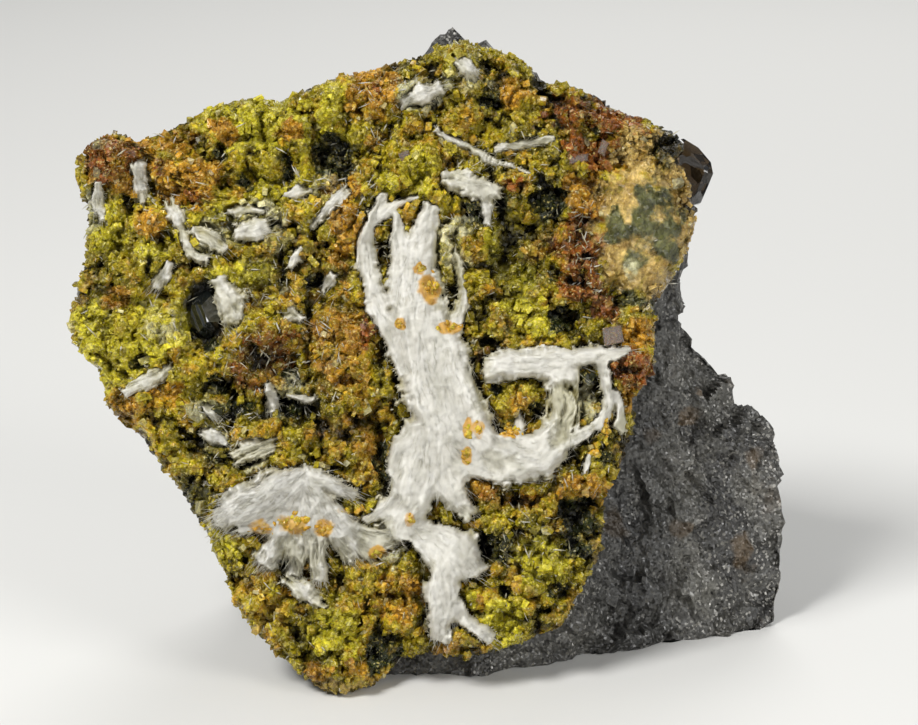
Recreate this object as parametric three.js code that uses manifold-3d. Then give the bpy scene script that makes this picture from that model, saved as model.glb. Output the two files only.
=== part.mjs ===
// Ettringite on barite, a hand specimen standing on its broken foot.
//
// A thick chunk of dark fine-grained ore carries a lumpy barite crust on its front.  White silky
// sprays of ettringite lie across the crust, each half sunk in it, with a black crystal, a smoky
// crystal and four pale tabular crystals.  Millimetres, +Z up, the crust faces -Y.
//
// Places on the crust are given in face coordinates: u runs to the right, v runs up the leaning
// face from its lowest edge, and w stands out of the face.

import * as THREE from 'three';
import { mergeVertices } from 'three/addons/utils/BufferGeometryUtils.js';
import Module from 'manifold-3d';

const wasm = await Module();
wasm.setup();

// ---- Driving dimensions, in millimetres and degrees ----------------------------------------

const FACE_LEAN = 15;          // the face leans back from upright by this angle
const FACE_FOOT_Y = -14;       // y of the face's lowest edge
const GAP = 0.3;               // clearance between a piece and what it is set in

const CRUST_BACK = 5;          // depth of the crust's flat back behind the face plane
const CRUST_CENTRE = [-3.2, 30];
const CRUST_STEPS = 35;        // squares along each side of the crust's grid
const RIM_RADIUS = 3.2;        // rounding of the crust's edge
const RIM_UNDERCUT = 1.1;      // the crust's back is this much smaller all round
const LUMP_SIZE = 3.0;         // spacing of the crust's lumps
const LUMP_HEIGHT = 1.3;
const PIT_SPREAD = 1.2;        // a pit's mouth is this much wider than listed
const SWELL_SIZE = 9;          // spacing and height of the crust's broad swells
const SWELL_HEIGHT = 1.6;

const SLIM_STRAND = 1.3;       // strands slimmer than this half width have four sides, not five
const STRAND_FLATNESS = 0.78;  // a strand's height as a share of its width
const STRAND_SEAT = 0.8;       // strands lie this far up the crust's lumps, as a share of their height
const STRAND_RISE = 0.35;      // and their middles this much higher, as a share of their own height

const ROCK_ROUGHNESS = 1.8;    // height of the ore's breaks and ledges
const ROCK_BREAK = 5;          // their spacing
const ROCK_STEPS_AROUND = 3;   // steps from one corner of a ring to the next
const FLOOR = 0;               // the specimen is flat where it stands

// The crust's outline in face coordinates, clockwise from the left end of its upper edge.
const CRUST_OUTLINE = [
  [-30.7, 45.2], [-29.4, 48.2], [-27.2, 49.1], [-25.4, 48.2], [-22.1, 49.5], [-18.6, 51.3],
  [-14.6, 52.2], [-13.2, 51.7], [-8.8, 53.5], [-4.1, 54.6], [-0.3, 55.8], [2.4, 57.0],
  [5.4, 56.4], [8.4, 55.3], [10.2, 53.5], [12.8, 53.0], [16.7, 51.0], [21.2, 49.2],
  [22.6, 48.2], [21.9, 46.9], [23.1, 43.1], [23.5, 41.4], [22.1, 37.5], [19.8, 34.1],
  [19.8, 29.4], [17.9, 25.8], [17.8, 23.7], [16.6, 19.4], [15.4, 17.3], [14.9, 12.3],
  [13.1, 8.8], [11.7, 5.9], [9.1, 5.0], [3.3, 3.3], [0.3, 3.7], [-2.0, 3.3],
  [-5.3, 0.7], [-7.1, 0.2], [-9.4, 0.7], [-12.6, 3.3], [-15.5, 6.3], [-17.8, 11.3],
  [-19.3, 14.5], [-21.6, 18.3], [-24.9, 22.5], [-27.6, 24.9], [-28.5, 28.2], [-30.9, 31.0],
  [-31.0, 34.0], [-29.6, 38.6], [-29.6, 42.7],
];

// Knobs and swellings of the crust: u, v, radius, height.
const KNOBS = [
  [-27.6, 46.4, 3.3, 2.0], [-24.0, 40.7, 1.9, 1.6], [-24.0, 37.8, 2.3, 1.2],
  [-28.8, 33.4, 2.9, 1.5], [-28.5, 30.6, 2.4, 1.2], [-26.4, 26.2, 1.9, 1.3],
  [-17.5, 49.6, 2.9, 1.5], [-11.3, 49.5, 2.4, 1.6], [-7.7, 51.8, 2.1, 1.5],
  [-3.6, 52.0, 2.9, 1.3], [2.9, 54.2, 2.6, 1.2], [7.4, 53.3, 2.3, 1.2],
  [12.9, 50.7, 2.9, 1.4], [17.4, 28.6, 2.3, 1.6], [-6.7, 28.2, 2.4, 1.2],
  [-14.6, 31.0, 2.4, 1.2], [-22.4, 31.4, 2.4, 1.1], [-17.5, 13.0, 1.9, 1.0],
  [-14.3, 8.1, 2.8, 1.5], [-8.0, 6.9, 2.6, 1.2], [-8.4, 2.3, 2.9, 1.6],
  [3.7, 4.7, 2.4, 1.5], [10.2, 13.7, 2.4, 1.2], [14.1, 18.4, 1.9, 1.0],
  [5.9, 39.5, 1.5, 2.0], [-7.1, 41.4, 2.8, 1.4], [0.8, 45.9, 2.1, 1.0],
  [-4.1, 44.7, 2.3, 1.0], [-14.1, 47.5, 2.1, 1.0], [-29.2, 36.0, 1.6, 0.9],
  [-21.0, 45.0, 2.4, 1.0], [-11.0, 41.0, 2.4, 0.9], [14.1, 37.5, 2.9, 1.2],
  [-6.7, 22.3, 2.4, 1.2], [6.8, 34.5, 2.3, 0.8],
];

// Pits between them: u, v, half width, half height, depth.
const PITS = [
  [-15.9, 44.7, 1.5, 1.3, 2.6], [-8.4, 46.6, 2.4, 1.5, 1.8], [-11.9, 45.6, 1.0, 1.6, 1.6],
  [-19.2, 33.3, 1.8, 2.3, 2.4], [-17.6, 26.5, 2.1, 1.4, 2.6], [-12.3, 25.1, 2.9, 1.2, 2.8],
  [-10.5, 21.8, 1.0, 1.4, 1.6], [-10.0, 36.4, 1.6, 1.0, 1.8], [10.2, 43.0, 2.6, 1.5, 3.0],
  [10.8, 37.8, 1.7, 1.6, 1.6], [12.0, 32.9, 1.6, 1.4, 2.8], [6.3, 26.8, 1.0, 1.0, 2.0],
  [8.4, 24.4, 1.2, 1.6, 1.6], [4.9, 48.8, 1.7, 0.8, 1.4], [14.1, 48.8, 1.6, 0.9, 1.4],
  [12.6, 16.1, 2.1, 1.6, 2.2], [5.1, 13.2, 1.1, 1.3, 2.2], [11.5, 9.2, 1.9, 0.8, 1.6],
  [-3.7, 4.2, 2.3, 2.1, 1.9], [-12.0, 11.6, 1.0, 1.1, 1.6], [-8.2, 9.7, 1.0, 0.9, 1.6],
  [-2.7, 43.2, 1.0, 0.5, 1.6], [10.8, 52.1, 1.1, 1.0, 1.4], [-3.9, 22.3, 0.8, 2.9, 1.8],
  [-24.7, 28.8, 0.8, 0.8, 1.4], [-11.0, 28.4, 3.3, 4.0, 1.4], [8.1, 38.8, 3.8, 5.2, 1.4],
  [-20.5, 22.3, 2.9, 2.3, 1.0], [-25.9, 42.4, 0.7, 1.2, 1.4], [5.5, 55.1, 0.7, 1.2, 1.2],
];

// The smooth tan boss at the upper right: u, v, half width, half height, height.
const BOSS = [18.4, 40.5, 4.3, 6.4, 2.4];

// White sprays.  Each strand is a path in face coordinates with its half width at each point.
const GREAT_SPRAY = [
  // trunk
  { path: [[0.4, 42.1], [-0.8, 37.8], [-1.6, 32.7], [-1.3, 27.5], [-0.3, 22.3], [0.4, 19.1]],
    halfWidths: [0.8, 1.6, 2.3, 2.4, 2.4, 1.7] },
  { path: [[0.8, 39.7], [1.1, 34.5], [1.6, 30.1], [2.8, 25.8], [4.4, 22.0]],
    halfWidths: [0.7, 1.4, 1.7, 2.1, 1.9] },
  { path: [[-3.7, 43.1], [-5.6, 39.8], [-4.6, 34.9], [-3.0, 30.1], [-2.2, 25.8]],
    halfWidths: [0.4, 1.0, 1.1, 1.2, 0.9] },
  { path: [[-2.7, 40.9], [-2.3, 37.9], [-2.2, 34.5]], halfWidths: [0.3, 0.7, 0.9] },
  { path: [[2.5, 39.0], [3.2, 34.5], [3.0, 30.6]], halfWidths: [0.4, 1.0, 0.9] },
  { path: [[-1.9, 25.8], [-2.0, 23.2], [-2.9, 20.8]], halfWidths: [1.2, 1.0, 0.3] },
  // arm to the right, with the ring and the bar above it
  { path: [[3.0, 23.2], [6.3, 21.0], [10.2, 20.4], [13.8, 22.2]], halfWidths: [1.7, 1.7, 1.3, 0.5] },
  { path: [[6.3, 22.5], [9.4, 22.2], [12.6, 23.0]], halfWidths: [0.6, 0.9, 0.6] },
  { path: [[12.2, 28.6], [12.4, 25.2], [11.6, 22.6]], halfWidths: [1.2, 2.2, 1.5] },
  { path: [[14.2, 29.4], [16.0, 26.5], [16.4, 24.1], [15.3, 21.8]], halfWidths: [0.9, 1.1, 1.1, 0.8] },
  { path: [[15.6, 22.4], [14.1, 20.1], [13.1, 18.4]], halfWidths: [0.7, 0.6, 0.3] },
  { path: [[4.6, 28.8], [8.9, 29.3], [13.2, 29.5], [17.4, 30.0]], halfWidths: [1.0, 1.5, 1.4, 0.3] },
  // cluster under the trunk
  { path: [[-0.2, 20.6], [-1.5, 16.7], [-3.0, 13.7]], halfWidths: [1.4, 1.8, 1.0] },
  { path: [[1.6, 19.9], [2.7, 16.9], [3.6, 15.0]], halfWidths: [1.3, 1.4, 0.7] },
  { path: [[-2.2, 14.7], [1.3, 13.4], [6.3, 11.8]], halfWidths: [1.6, 2.0, 0.4] },
  { path: [[0.4, 13.0], [0.8, 8.9], [2.2, 5.5]], halfWidths: [1.8, 1.8, 1.1] },
  { path: [[3.7, 12.3], [3.6, 8.5], [4.9, 5.0]], halfWidths: [1.0, 1.2, 0.7] },
];
const FAN = [
  { path: [[-10.4, 19.6], [-14.3, 18.4], [-18.0, 16.8]], halfWidths: [1.0, 1.4, 0.8] },
  { path: [[-10.8, 19.0], [-14.6, 16.6], [-17.7, 14.6]], halfWidths: [1.0, 1.4, 0.7] },
  { path: [[-10.8, 18.6], [-12.9, 14.5], [-14.6, 11.7]], halfWidths: [0.8, 1.1, 0.7] },
  { path: [[-10.6, 18.4], [-11.6, 13.7], [-12.2, 11.0]], halfWidths: [0.7, 1.0, 0.6] },
  { path: [[-10.3, 18.4], [-9.7, 14.5], [-9.2, 12.8]], halfWidths: [0.7, 0.9, 0.4] },
  { path: [[-10.2, 18.8], [-7.6, 15.4], [-5.8, 13.2]], halfWidths: [0.9, 1.4, 0.8] },
  { path: [[-9.9, 19.0], [-7.0, 16.9], [-5.2, 15.6]], halfWidths: [0.9, 1.1, 0.5] },
  { path: [[-9.9, 19.4], [-7.0, 18.6], [-5.0, 18.2]], halfWidths: [0.6, 0.8, 0.3] },
];
const SMALL_SPRAYS = {
  ettringite_tongue: [
    { path: [[-12.2, 10.3], [-10.7, 9.2], [-8.7, 8.0]], halfWidths: [0.7, 0.7, 0.3] }],
  ettringite_tuft: [
    { path: [[2.2, 45.4], [4.1, 44.2], [6.3, 43.8]], halfWidths: [0.7, 1.1, 0.6] },
    { path: [[4.9, 43.9], [5.2, 42.3], [5.1, 41.2]], halfWidths: [0.6, 0.5, 0.4] }],
  ettringite_upper_lath: [
    { path: [[1.0, 49.0], [4.4, 47.3], [8.7, 45.7]], halfWidths: [0.4, 0.5, 0.2] }],
  ettringite_right_lath: [
    { path: [[6.1, 47.7], [8.4, 48.1], [10.8, 48.4]], halfWidths: [0.4, 0.5, 0.3] }],
  ettringite_streak: [
    { path: [[-22.4, 43.1], [-21.2, 40.4], [-19.7, 37.8]], halfWidths: [0.3, 0.7, 0.4] },
    { path: [[-20.9, 39.0], [-19.1, 39.7], [-16.9, 39.7]], halfWidths: [0.4, 0.8, 0.3] }],
  ettringite_post: [
    { path: [[-24.9, 45.9], [-24.6, 44.5], [-24.5, 43.0]], halfWidths: [0.7, 0.5, 0.4] }],
  ettringite_blade: [
    { path: [[-22.0, 37.4], [-22.7, 36.2], [-23.5, 35.1]], halfWidths: [0.4, 0.5, 0.3] }],
  ettringite_crystal_side: [
    { path: [[-18.0, 36.4], [-16.7, 34.9], [-15.6, 33.3]], halfWidths: [0.5, 1.0, 0.4] }],
  ettringite_web: [
    { path: [[-25.9, 26.5], [-23.8, 27.7], [-21.7, 28.8], [-19.1, 28.8]],
      halfWidths: [0.3, 0.8, 0.5, 0.3] }],
  ettringite_upper_fleck: [
    { path: [[-19.5, 25.6], [-18.6, 24.9], [-18.1, 24.1]], halfWidths: [0.4, 0.6, 0.3] }],
  ettringite_lower_fleck: [
    { path: [[-19.5, 23.0], [-18.4, 22.3], [-17.4, 21.8]], halfWidths: [0.4, 0.7, 0.3] }],
  ettringite_clump: [
    { path: [[-16.2, 21.1], [-14.3, 21.8], [-12.4, 22.5]], halfWidths: [0.7, 1.0, 0.3] }],
  ettringite_low_fibres: [
    { path: [[-13.8, 28.4], [-13.4, 26.3], [-13.6, 24.8]], halfWidths: [0.4, 0.8, 0.3] },
    { path: [[-13.4, 26.0], [-10.8, 25.8], [-9.1, 25.5]], halfWidths: [0.5, 0.5, 0.2] }],
  ettringite_top_patch: [
    { path: [[-2.0, 51.4], [-0.4, 52.1], [1.0, 52.7]], halfWidths: [0.4, 1.0, 0.3] }],
  ettringite_edge_patch: [
    { path: [[-28.2, 43.6], [-28.2, 42.1], [-28.4, 40.4]], halfWidths: [0.4, 0.6, 0.3] }],
  ettringite_peak_patch: [
    { path: [[2.4, 55.2], [3.4, 54.4], [4.2, 53.3]], halfWidths: [0.4, 0.7, 0.3] }],
  ettringite_left_patch: [
    { path: [[-15.6, 40.4], [-14.3, 40.7], [-12.8, 41.2]], halfWidths: [0.5, 0.9, 0.3] }],
  ettringite_slant_lath: [
    { path: [[-6.9, 43.9], [-8.4, 42.4], [-10.1, 41.2]], halfWidths: [0.3, 0.5, 0.2] }],
};

// The ore in four rings from the crust's back to the rear, each a list of corners: u, v, depth.
// The corners run clockwise from the upper left and reach below the floor, where they are cut off.
const ROCK_RINGS = [
  [[-26.5, 46.5, 5.3], [-14.0, 50.3, 5.3], [-2.6, 53.4, 5.3], [2.0, 56.0, 5.3], [13.5, 50.6, 5.3],
    [20.8, 46.2, 5.3], [20.8, 40.0, 5.3], [18.0, 33.0, 5.3], [16.4, 26.5, 5.3], [15.0, 20.0, 5.3],
    [13.6, 14.0, 5.3], [11.0, 6.6, 5.3], [3.5, 3.6, 5.3], [-7.0, 0.4, 5.3], [-14.2, 7.2, 5.3],
    [-20.8, 17.6, 5.3], [-27.0, 26.6, 5.3], [-29.0, 34.0, 5.3]],
  [[-26.0, 46.6, 8.0], [-13.5, 50.8, 8.0], [-2.2, 54.4, 8.0], [2.2, 59.0, 7.2], [14.0, 51.2, 8.0],
    [21.6, 46.0, 9.0], [22.0, 39.5, 9.0], [20.0, 33.0, 9.0], [18.9, 27.0, 10.0],
    [18.4, 20.0, 11.0], [17.8, 13.0, 12.0], [16.6, 3.6, 11.0], [4.0, 0.6, 4.6], [-6.8, -1.0, 6.4],
    [-13.6, 5.0, 9.0], [-20.4, 16.6, 9.0], [-26.4, 26.0, 9.0], [-28.0, 34.0, 9.0]],
  [[-21.0, 44.6, 14.0], [-11.0, 48.6, 13.5], [-3.0, 52.0, 13.0], [1.4, 55.2, 12.5],
    [13.0, 49.6, 13.5], [21.0, 43.8, 15.0], [22.6, 38.0, 15.0], [23.6, 33.0, 15.0],
    [28.1, 26.7, 16.0], [31.9, 21.1, 17.0], [32.5, 12.6, 17.0], [32.2, 2.6, 18.0],
    [12.0, 1.0, 14.0], [-4.0, 0.5, 14.0], [-14.0, 3.0, 17.0], [-19.6, 14.6, 17.0],
    [-23.6, 25.6, 15.5], [-24.6, 34.0, 14.5]],
  [[-16.0, 40.6, 19.5], [-8.6, 45.0, 18.0], [-3.4, 48.6, 17.4], [0.4, 51.0, 16.8],
    [10.6, 45.6, 18.6], [17.6, 39.6, 20.4], [20.0, 35.0, 22.0], [21.8, 30.0, 23.0],
    [25.4, 24.0, 24.6], [28.6, 18.6, 26.0], [29.4, 12.0, 27.0], [27.6, 3.6, 28.0],
    [10.0, 3.0, 29.0], [-6.0, 3.0, 29.0], [-15.6, 4.0, 27.0], [-17.0, 13.6, 26.0],
    [-19.0, 24.6, 23.6], [-19.6, 33.0, 21.4]],
];
const ROCK_RING_STEPS = [2, 4, 2, 2];   // steps from each ring to the next, the last to the hump
const ROCK_HUMP = [0.35, 2.6];          // the rear's hump: its share of the last ring, its height

// Single crystals: u, v, how far the middle stands out, half sizes along u, v and w, turn.
const BLACK_CRYSTAL = { place: [-19.2, 33.3, -0.4], halfSize: [1.45, 2.0, 1.5], turn: 20 };
const SMOKY_OUTLINE = [
  [-2.6, 3.0], [-1.3, 3.3], [0.0, 2.5], [1.1, 1.2], [1.3, 0.2], [0.9, -0.8], [0.2, -2.4],
  [-1.6, -2.9], [-3.2, -1.0],
];
const SMOKY_CRYSTAL = { place: [24.0, 45.6, -7.2], thickness: 3.4, bevel: 0.8 };
const PALE_PLATES = {
  pale_plate_lower: { place: [16.0, 31.4], size: [1.9, 1.7], turn: 20, tilt: 12 },
  pale_plate_upper: { place: [13.1, 46.6], size: [1.8, 0.7], turn: 12, tilt: -8 },
  pale_plate_corner: { place: [15.2, 47.6], size: [0.7, 1.4], turn: -15, tilt: 10 },
  pale_plate_middle: { place: [-1.9, 46.8], size: [1.1, 1.0], turn: 30, tilt: 15 },
};
const PLATE_THICKNESS = 0.9;
const PLATE_BEVEL = 0.18;

// ---- Frames, noise and outline -------------------------------------------------------------

const leanSin = Math.sin(THREE.MathUtils.degToRad(FACE_LEAN));
const leanCos = Math.cos(THREE.MathUtils.degToRad(FACE_LEAN));

// Turns face coordinates into the part's own.
function facePoint(u, v, w) {
  return new THREE.Vector3(u, FACE_FOOT_Y + v * leanSin - w * leanCos, v * leanCos + w * leanSin);
}

// The matrix that turns a shape modelled in face axes, with its middle at u, v, w.
function faceMatrix(u, v, w) {
  const lean = new THREE.Matrix4().makeRotationX(Math.PI / 2 - THREE.MathUtils.degToRad(FACE_LEAN));
  const place = facePoint(u, v, w);
  return lean.setPosition(place);
}

// A repeatable scatter value from 0 to 1 for a lattice point.
function scatter(i, j, k) {
  const s = Math.sin(i * 127.1 + j * 311.7 + k * 74.7) * 43758.5453;
  return s - Math.floor(s);
}

function ease(t) {
  return t * t * (3 - 2 * t);
}

// Smooth noise from 0 to 1 with one swell per unit length.
function swells(x, y, z) {
  const [i, j, k] = [Math.floor(x), Math.floor(y), Math.floor(z)];
  const [a, b, c] = [ease(x - i), ease(y - j), ease(z - k)];
  const mix = THREE.MathUtils.lerp;
  const row = (dj, dk) => mix(scatter(i, j + dj, k + dk), scatter(i + 1, j + dj, k + dk), a);
  return mix(mix(row(0, 0), row(1, 0), b), mix(row(0, 1), row(1, 1), b), c);
}

// Rounded lumps packed side by side: 1 on top of the tallest, 0 in the creases between them.
function lumps(u, v, size) {
  const [x, y] = [u / size, v / size];
  const [i, j] = [Math.floor(x), Math.floor(y)];
  let top = 0;
  for (let di = -1; di <= 1; di++) {
    for (let dj = -1; dj <= 1; dj++) {
      const [ci, cj] = [i + di, j + dj];
      const du = ci + 0.15 + 0.7 * scatter(ci, cj, 1) - x;
      const dv = cj + 0.15 + 0.7 * scatter(ci, cj, 2) - y;
      const height = 0.45 + 0.55 * scatter(ci, cj, 3);
      top = Math.max(top, height * (1 - 1.6 * (du * du + dv * dv)));
    }
  }
  return top;
}

// The outline as angle and reach from the crust's centre, in order of angle.
const outlineReach = CRUST_OUTLINE
  .map(([u, v]) => [u - CRUST_CENTRE[0], v - CRUST_CENTRE[1]])
  .map(([x, y]) => ({ angle: Math.atan2(y, x), reach: Math.hypot(x, y) }))
  .sort((a, b) => a.angle - b.angle);

// How far the crust reaches from its centre at an angle.
function reachAt(angle) {
  const count = outlineReach.length;
  let next = outlineReach.findIndex((corner) => corner.angle > angle);
  if (next < 0) next = 0;
  const before = outlineReach[(next + count - 1) % count];
  const after = outlineReach[next];
  const turn = 2 * Math.PI;
  const span = (after.angle - before.angle + turn) % turn;
  const part = ((angle - before.angle + turn) % turn) / span;
  return THREE.MathUtils.lerp(before.reach, after.reach, part);
}

// ---- The crust's relief --------------------------------------------------------------------

// Share of a round form left at a point: 1 in its middle, 0 at its edge and beyond.
function within(u, v, middleU, middleV, radiusU, radiusV, power) {
  const q = Math.hypot((u - middleU) / radiusU, (v - middleV) / radiusV);
  return Math.max(0, 1 - q ** power);
}

// The crust's surface without its lumps.
function crustBody(u, v) {
  const [x, y] = [u - CRUST_CENTRE[0], v - CRUST_CENTRE[1]];
  const inset = Math.max(0, reachAt(Math.atan2(y, x)) - Math.hypot(x, y));
  const short = Math.max(0, RIM_RADIUS - inset);
  const rim = Math.sqrt(RIM_RADIUS ** 2 - short ** 2) - RIM_RADIUS;
  const knob = Math.max(...KNOBS.map(([ku, kv, r, h]) => h * within(u, v, ku, kv, r, r, 2)));
  const pit = Math.max(...PITS.map(([pu, pv, ru, rv, depth]) => (
    depth * within(u, v, pu, pv, ru * PIT_SPREAD, rv * PIT_SPREAD, 3)
  )));
  const boss = BOSS[4] * within(u, v, BOSS[0], BOSS[1], BOSS[2], BOSS[3], 2.5);
  const swell = SWELL_HEIGHT * (swells(u / SWELL_SIZE, v / SWELL_SIZE, 0) - 0.5);
  return rim + Math.max(knob, boss) - pit + swell;
}

// The crust's surface with its lumps, which fade on the smooth boss.
function crustSurface(u, v) {
  const smooth = within(u, v, BOSS[0], BOSS[1], BOSS[2], BOSS[3], 4);
  return crustBody(u, v) + LUMP_HEIGHT * (1 - 0.85 * smooth) * lumps(u, v, LUMP_SIZE);
}

// ---- Solids --------------------------------------------------------------------------------

// A solid from a closed geometry.
function solidOf(geometry) {
  const bare = geometry.clone();
  bare.deleteAttribute('normal');
  bare.deleteAttribute('uv');
  const merged = mergeVertices(bare, 1e-4);
  const vertProperties = new Float32Array(merged.attributes.position.array);
  const triVerts = new Uint32Array(merged.index.array);
  return new wasm.Manifold(new wasm.Mesh({ numProp: 3, vertProperties, triVerts }));
}

function geometryOf(solid) {
  const mesh = solid.getMesh();
  const geometry = new THREE.BufferGeometry();
  geometry.setAttribute('position', new THREE.BufferAttribute(mesh.vertProperties, 3));
  geometry.setIndex(new THREE.BufferAttribute(mesh.triVerts, 1));
  geometry.computeVertexNormals();
  return geometry;
}

function geometryFrom(points, triangles) {
  const geometry = new THREE.BufferGeometry().setFromPoints(points);
  geometry.setIndex(triangles);
  return geometry;
}

// A closed skin over rings of equal length, drawn together to a point at each end.  Each ring
// runs counterclockwise as seen from the end point.
function skinOver(startPoint, rings, endPoint) {
  const count = rings[0].length;
  const points = [startPoint, ...rings.flat(), endPoint];
  const last = points.length - 1;
  const at = (ring, i) => 1 + ring * count + (i % count);
  const triangles = [];
  for (let i = 0; i < count; i++) {
    triangles.push(0, at(0, i + 1), at(0, i));
    triangles.push(last, at(rings.length - 1, i), at(rings.length - 1, i + 1));
    for (let ring = 0; ring + 1 < rings.length; ring++) {
      const [a, b] = [at(ring, i), at(ring, i + 1)];
      const [c, d] = [at(ring + 1, i), at(ring + 1, i + 1)];
      triangles.push(a, b, d, a, d, c);
    }
  }
  return geometryFrom(points, triangles);
}

// A box that holds everything above the floor.
function aboveFloor() {
  const size = 200;
  return solidOf(new THREE.BoxGeometry(size, size, size).translate(0, 0, FLOOR + size / 2));
}

// The crust: a square grid spread over the outline, with a rounded rim and a flat back.
function crustSolid() {
  const n = CRUST_STEPS;
  const points = [];
  for (let j = 0; j <= n; j++) {
    for (let i = 0; i <= n; i++) {
      const [a, b] = [(2 * i) / n - 1, (2 * j) / n - 1];
      const [x, y] = [a * Math.sqrt(1 - (b * b) / 2), b * Math.sqrt(1 - (a * a) / 2)];
      const angle = Math.atan2(y, x);
      const reach = reachAt(angle) * Math.min(1, Math.hypot(x, y));
      const u = CRUST_CENTRE[0] + reach * Math.cos(angle);
      const v = CRUST_CENTRE[1] + reach * Math.sin(angle);
      points.push(facePoint(u, v, crustSurface(u, v)));
    }
  }
  const at = (i, j) => j * (n + 1) + i;
  const triangles = [];
  for (let j = 0; j < n; j++) {
    for (let i = 0; i < n; i++) {
      const [a, b, c, d] = [at(i, j), at(i + 1, j), at(i + 1, j + 1), at(i, j + 1)];
      const slope = (i + j) % 2 === 0;
      triangles.push(...(slope ? [a, b, c, a, c, d] : [a, b, d, b, c, d]));
    }
  }
  const rim = [];
  for (let i = 0; i < n; i++) rim.push(at(i, 0));
  for (let j = 0; j < n; j++) rim.push(at(n, j));
  for (let i = n; i > 0; i--) rim.push(at(i, n));
  for (let j = n; j > 0; j--) rim.push(at(0, j));
  const back = points.length;
  rim.forEach((corner, index) => {
    const side = Math.floor(index / n);
    const along = (2 * (index % n)) / n - 1;
    const [a, b] = [[along, -1], [1, along], [-along, 1], [-1, -along]][side];
    const angle = Math.atan2(b * Math.sqrt(1 - (a * a) / 2), a * Math.sqrt(1 - (b * b) / 2));
    const reach = reachAt(angle) - RIM_UNDERCUT;
    const u = CRUST_CENTRE[0] + reach * Math.cos(angle);
    const v = CRUST_CENTRE[1] + reach * Math.sin(angle);
    points.push(facePoint(u, v, -CRUST_BACK));
  });
  const middle = points.length;
  points.push(facePoint(...CRUST_CENTRE, -CRUST_BACK));
  rim.forEach((corner, index) => {
    const next = (index + 1) % rim.length;
    triangles.push(corner, back + index, rim[next]);
    triangles.push(rim[next], back + index, back + next);
    triangles.push(middle, back + next, back + index);
  });
  return solidOf(geometryFrom(points, triangles)).intersect(aboveFloor());
}

// One strand of silky fibres: a flattened bundle with a ridge along its top and a point at each
// end.
function strandSolid({ path, halfWidths }, grow) {
  const curve = new THREE.CatmullRomCurve3(
    path.map(([u, v], index) => {
      const seat = crustBody(u, v) + STRAND_SEAT * LUMP_HEIGHT;
      return new THREE.Vector3(u, v, seat + STRAND_RISE * STRAND_FLATNESS * halfWidths[index]);
    }),
  );
  const widths = new THREE.CatmullRomCurve3(
    halfWidths.map((width, index) => new THREE.Vector3(index, width, 0)),
  );
  const rings = [];
  const steps = path.length - 1;
  const sides = Math.max(...halfWidths) < SLIM_STRAND ? 4 : 5;
  for (let step = 0; step <= steps; step++) {
    const along = step / steps;
    const middle = curve.getPoint(along);
    const tangent = curve.getTangent(along);
    const sideways = new THREE.Vector3(-tangent.y, tangent.x, 0).normalize();
    const halfWidth = widths.getPoint(along).y;
    const halfHeight = STRAND_FLATNESS * halfWidth + grow;
    const ring = [];
    for (let side = 0; side < sides; side++) {
      const angle = Math.PI / 2 + (2 * Math.PI * side) / sides;
      const across = Math.cos(angle) * (halfWidth + grow);
      const up = Math.sin(angle) * halfHeight;
      ring.push(facePoint(
        middle.x + sideways.x * across,
        middle.y + sideways.y * across,
        middle.z + up,
      ));
    }
    rings.push(ring);
  }
  const tip = (along, way) => {
    const middle = curve.getPoint(along);
    const tangent = curve.getTangent(along).setZ(0).normalize();
    const length = 1.1 * widths.getPoint(along).y + grow;
    return facePoint(middle.x + way * tangent.x * length, middle.y + way * tangent.y * length, middle.z);
  };
  return solidOf(skinOver(tip(0, -1), rings, tip(1, 1)));
}

function spraySolid(strands, grow) {
  return strands
    .map((strand) => strandSolid(strand, grow))
    .reduce((whole, strand) => whole.add(strand));
}

// The ore: flat breaks between the corners of its rings, roughened, with a hump at the rear.
function rockSolid() {
  const [share, height] = ROCK_HUMP;
  const rear = ROCK_RINGS[ROCK_RINGS.length - 1];
  const mean = [0, 1, 2].map((axis) => rear.reduce((sum, c) => sum + c[axis], 0) / rear.length);
  const hump = rear.map(([u, v, depth]) => [
    THREE.MathUtils.lerp(mean[0], u, share),
    THREE.MathUtils.lerp(mean[1], v, share),
    THREE.MathUtils.lerp(mean[2], depth, share) + height,
  ]);
  const corners = [...ROCK_RINGS, hump];
  const rings = [];
  ROCK_RING_STEPS.forEach((steps, level) => {
    const first = level === 0 ? 0 : 1;
    for (let step = first; step <= steps; step++) {
      rings.push(rockRing(corners[level], corners[level + 1], step / steps, level + step > 0));
    }
  });
  const front = facePoint(...CRUST_CENTRE, -ROCK_RINGS[0][0][2]);
  const back = facePoint(mean[0], mean[1], -mean[2] - 1.2 * height);
  return solidOf(skinOver(front, rings, back)).intersect(aboveFloor());
}

// One ring of the ore's surface, part of the way from one list of corners to the next.
function rockRing(nearer, farther, part, rough) {
  const ring = [];
  const count = nearer.length;
  for (let corner = 0; corner < count; corner++) {
    for (let step = 0; step < ROCK_STEPS_AROUND; step++) {
      const along = step / ROCK_STEPS_AROUND;
      const next = (corner + 1) % count;
      const [u, v, depth] = [0, 1, 2].map((axis) => {
        const near = THREE.MathUtils.lerp(nearer[corner][axis], nearer[next][axis], along);
        const far = THREE.MathUtils.lerp(farther[corner][axis], farther[next][axis], along);
        return THREE.MathUtils.lerp(near, far, part);
      });
      const away = new THREE.Vector2(u - CRUST_CENTRE[0], v - CRUST_CENTRE[1]).normalize();
      const coarse = swells(u / ROCK_BREAK, v / ROCK_BREAK, depth / ROCK_BREAK) - 0.5;
      const fine = swells(u / 2, v / 2, depth / 2) - 0.5;
      const push = rough ? ROCK_ROUGHNESS * (coarse + 0.5 * fine) : 0;
      ring.push(facePoint(u + away.x * push, v + away.y * push, -depth + push * 0.4));
    }
  }
  return ring;
}

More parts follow.
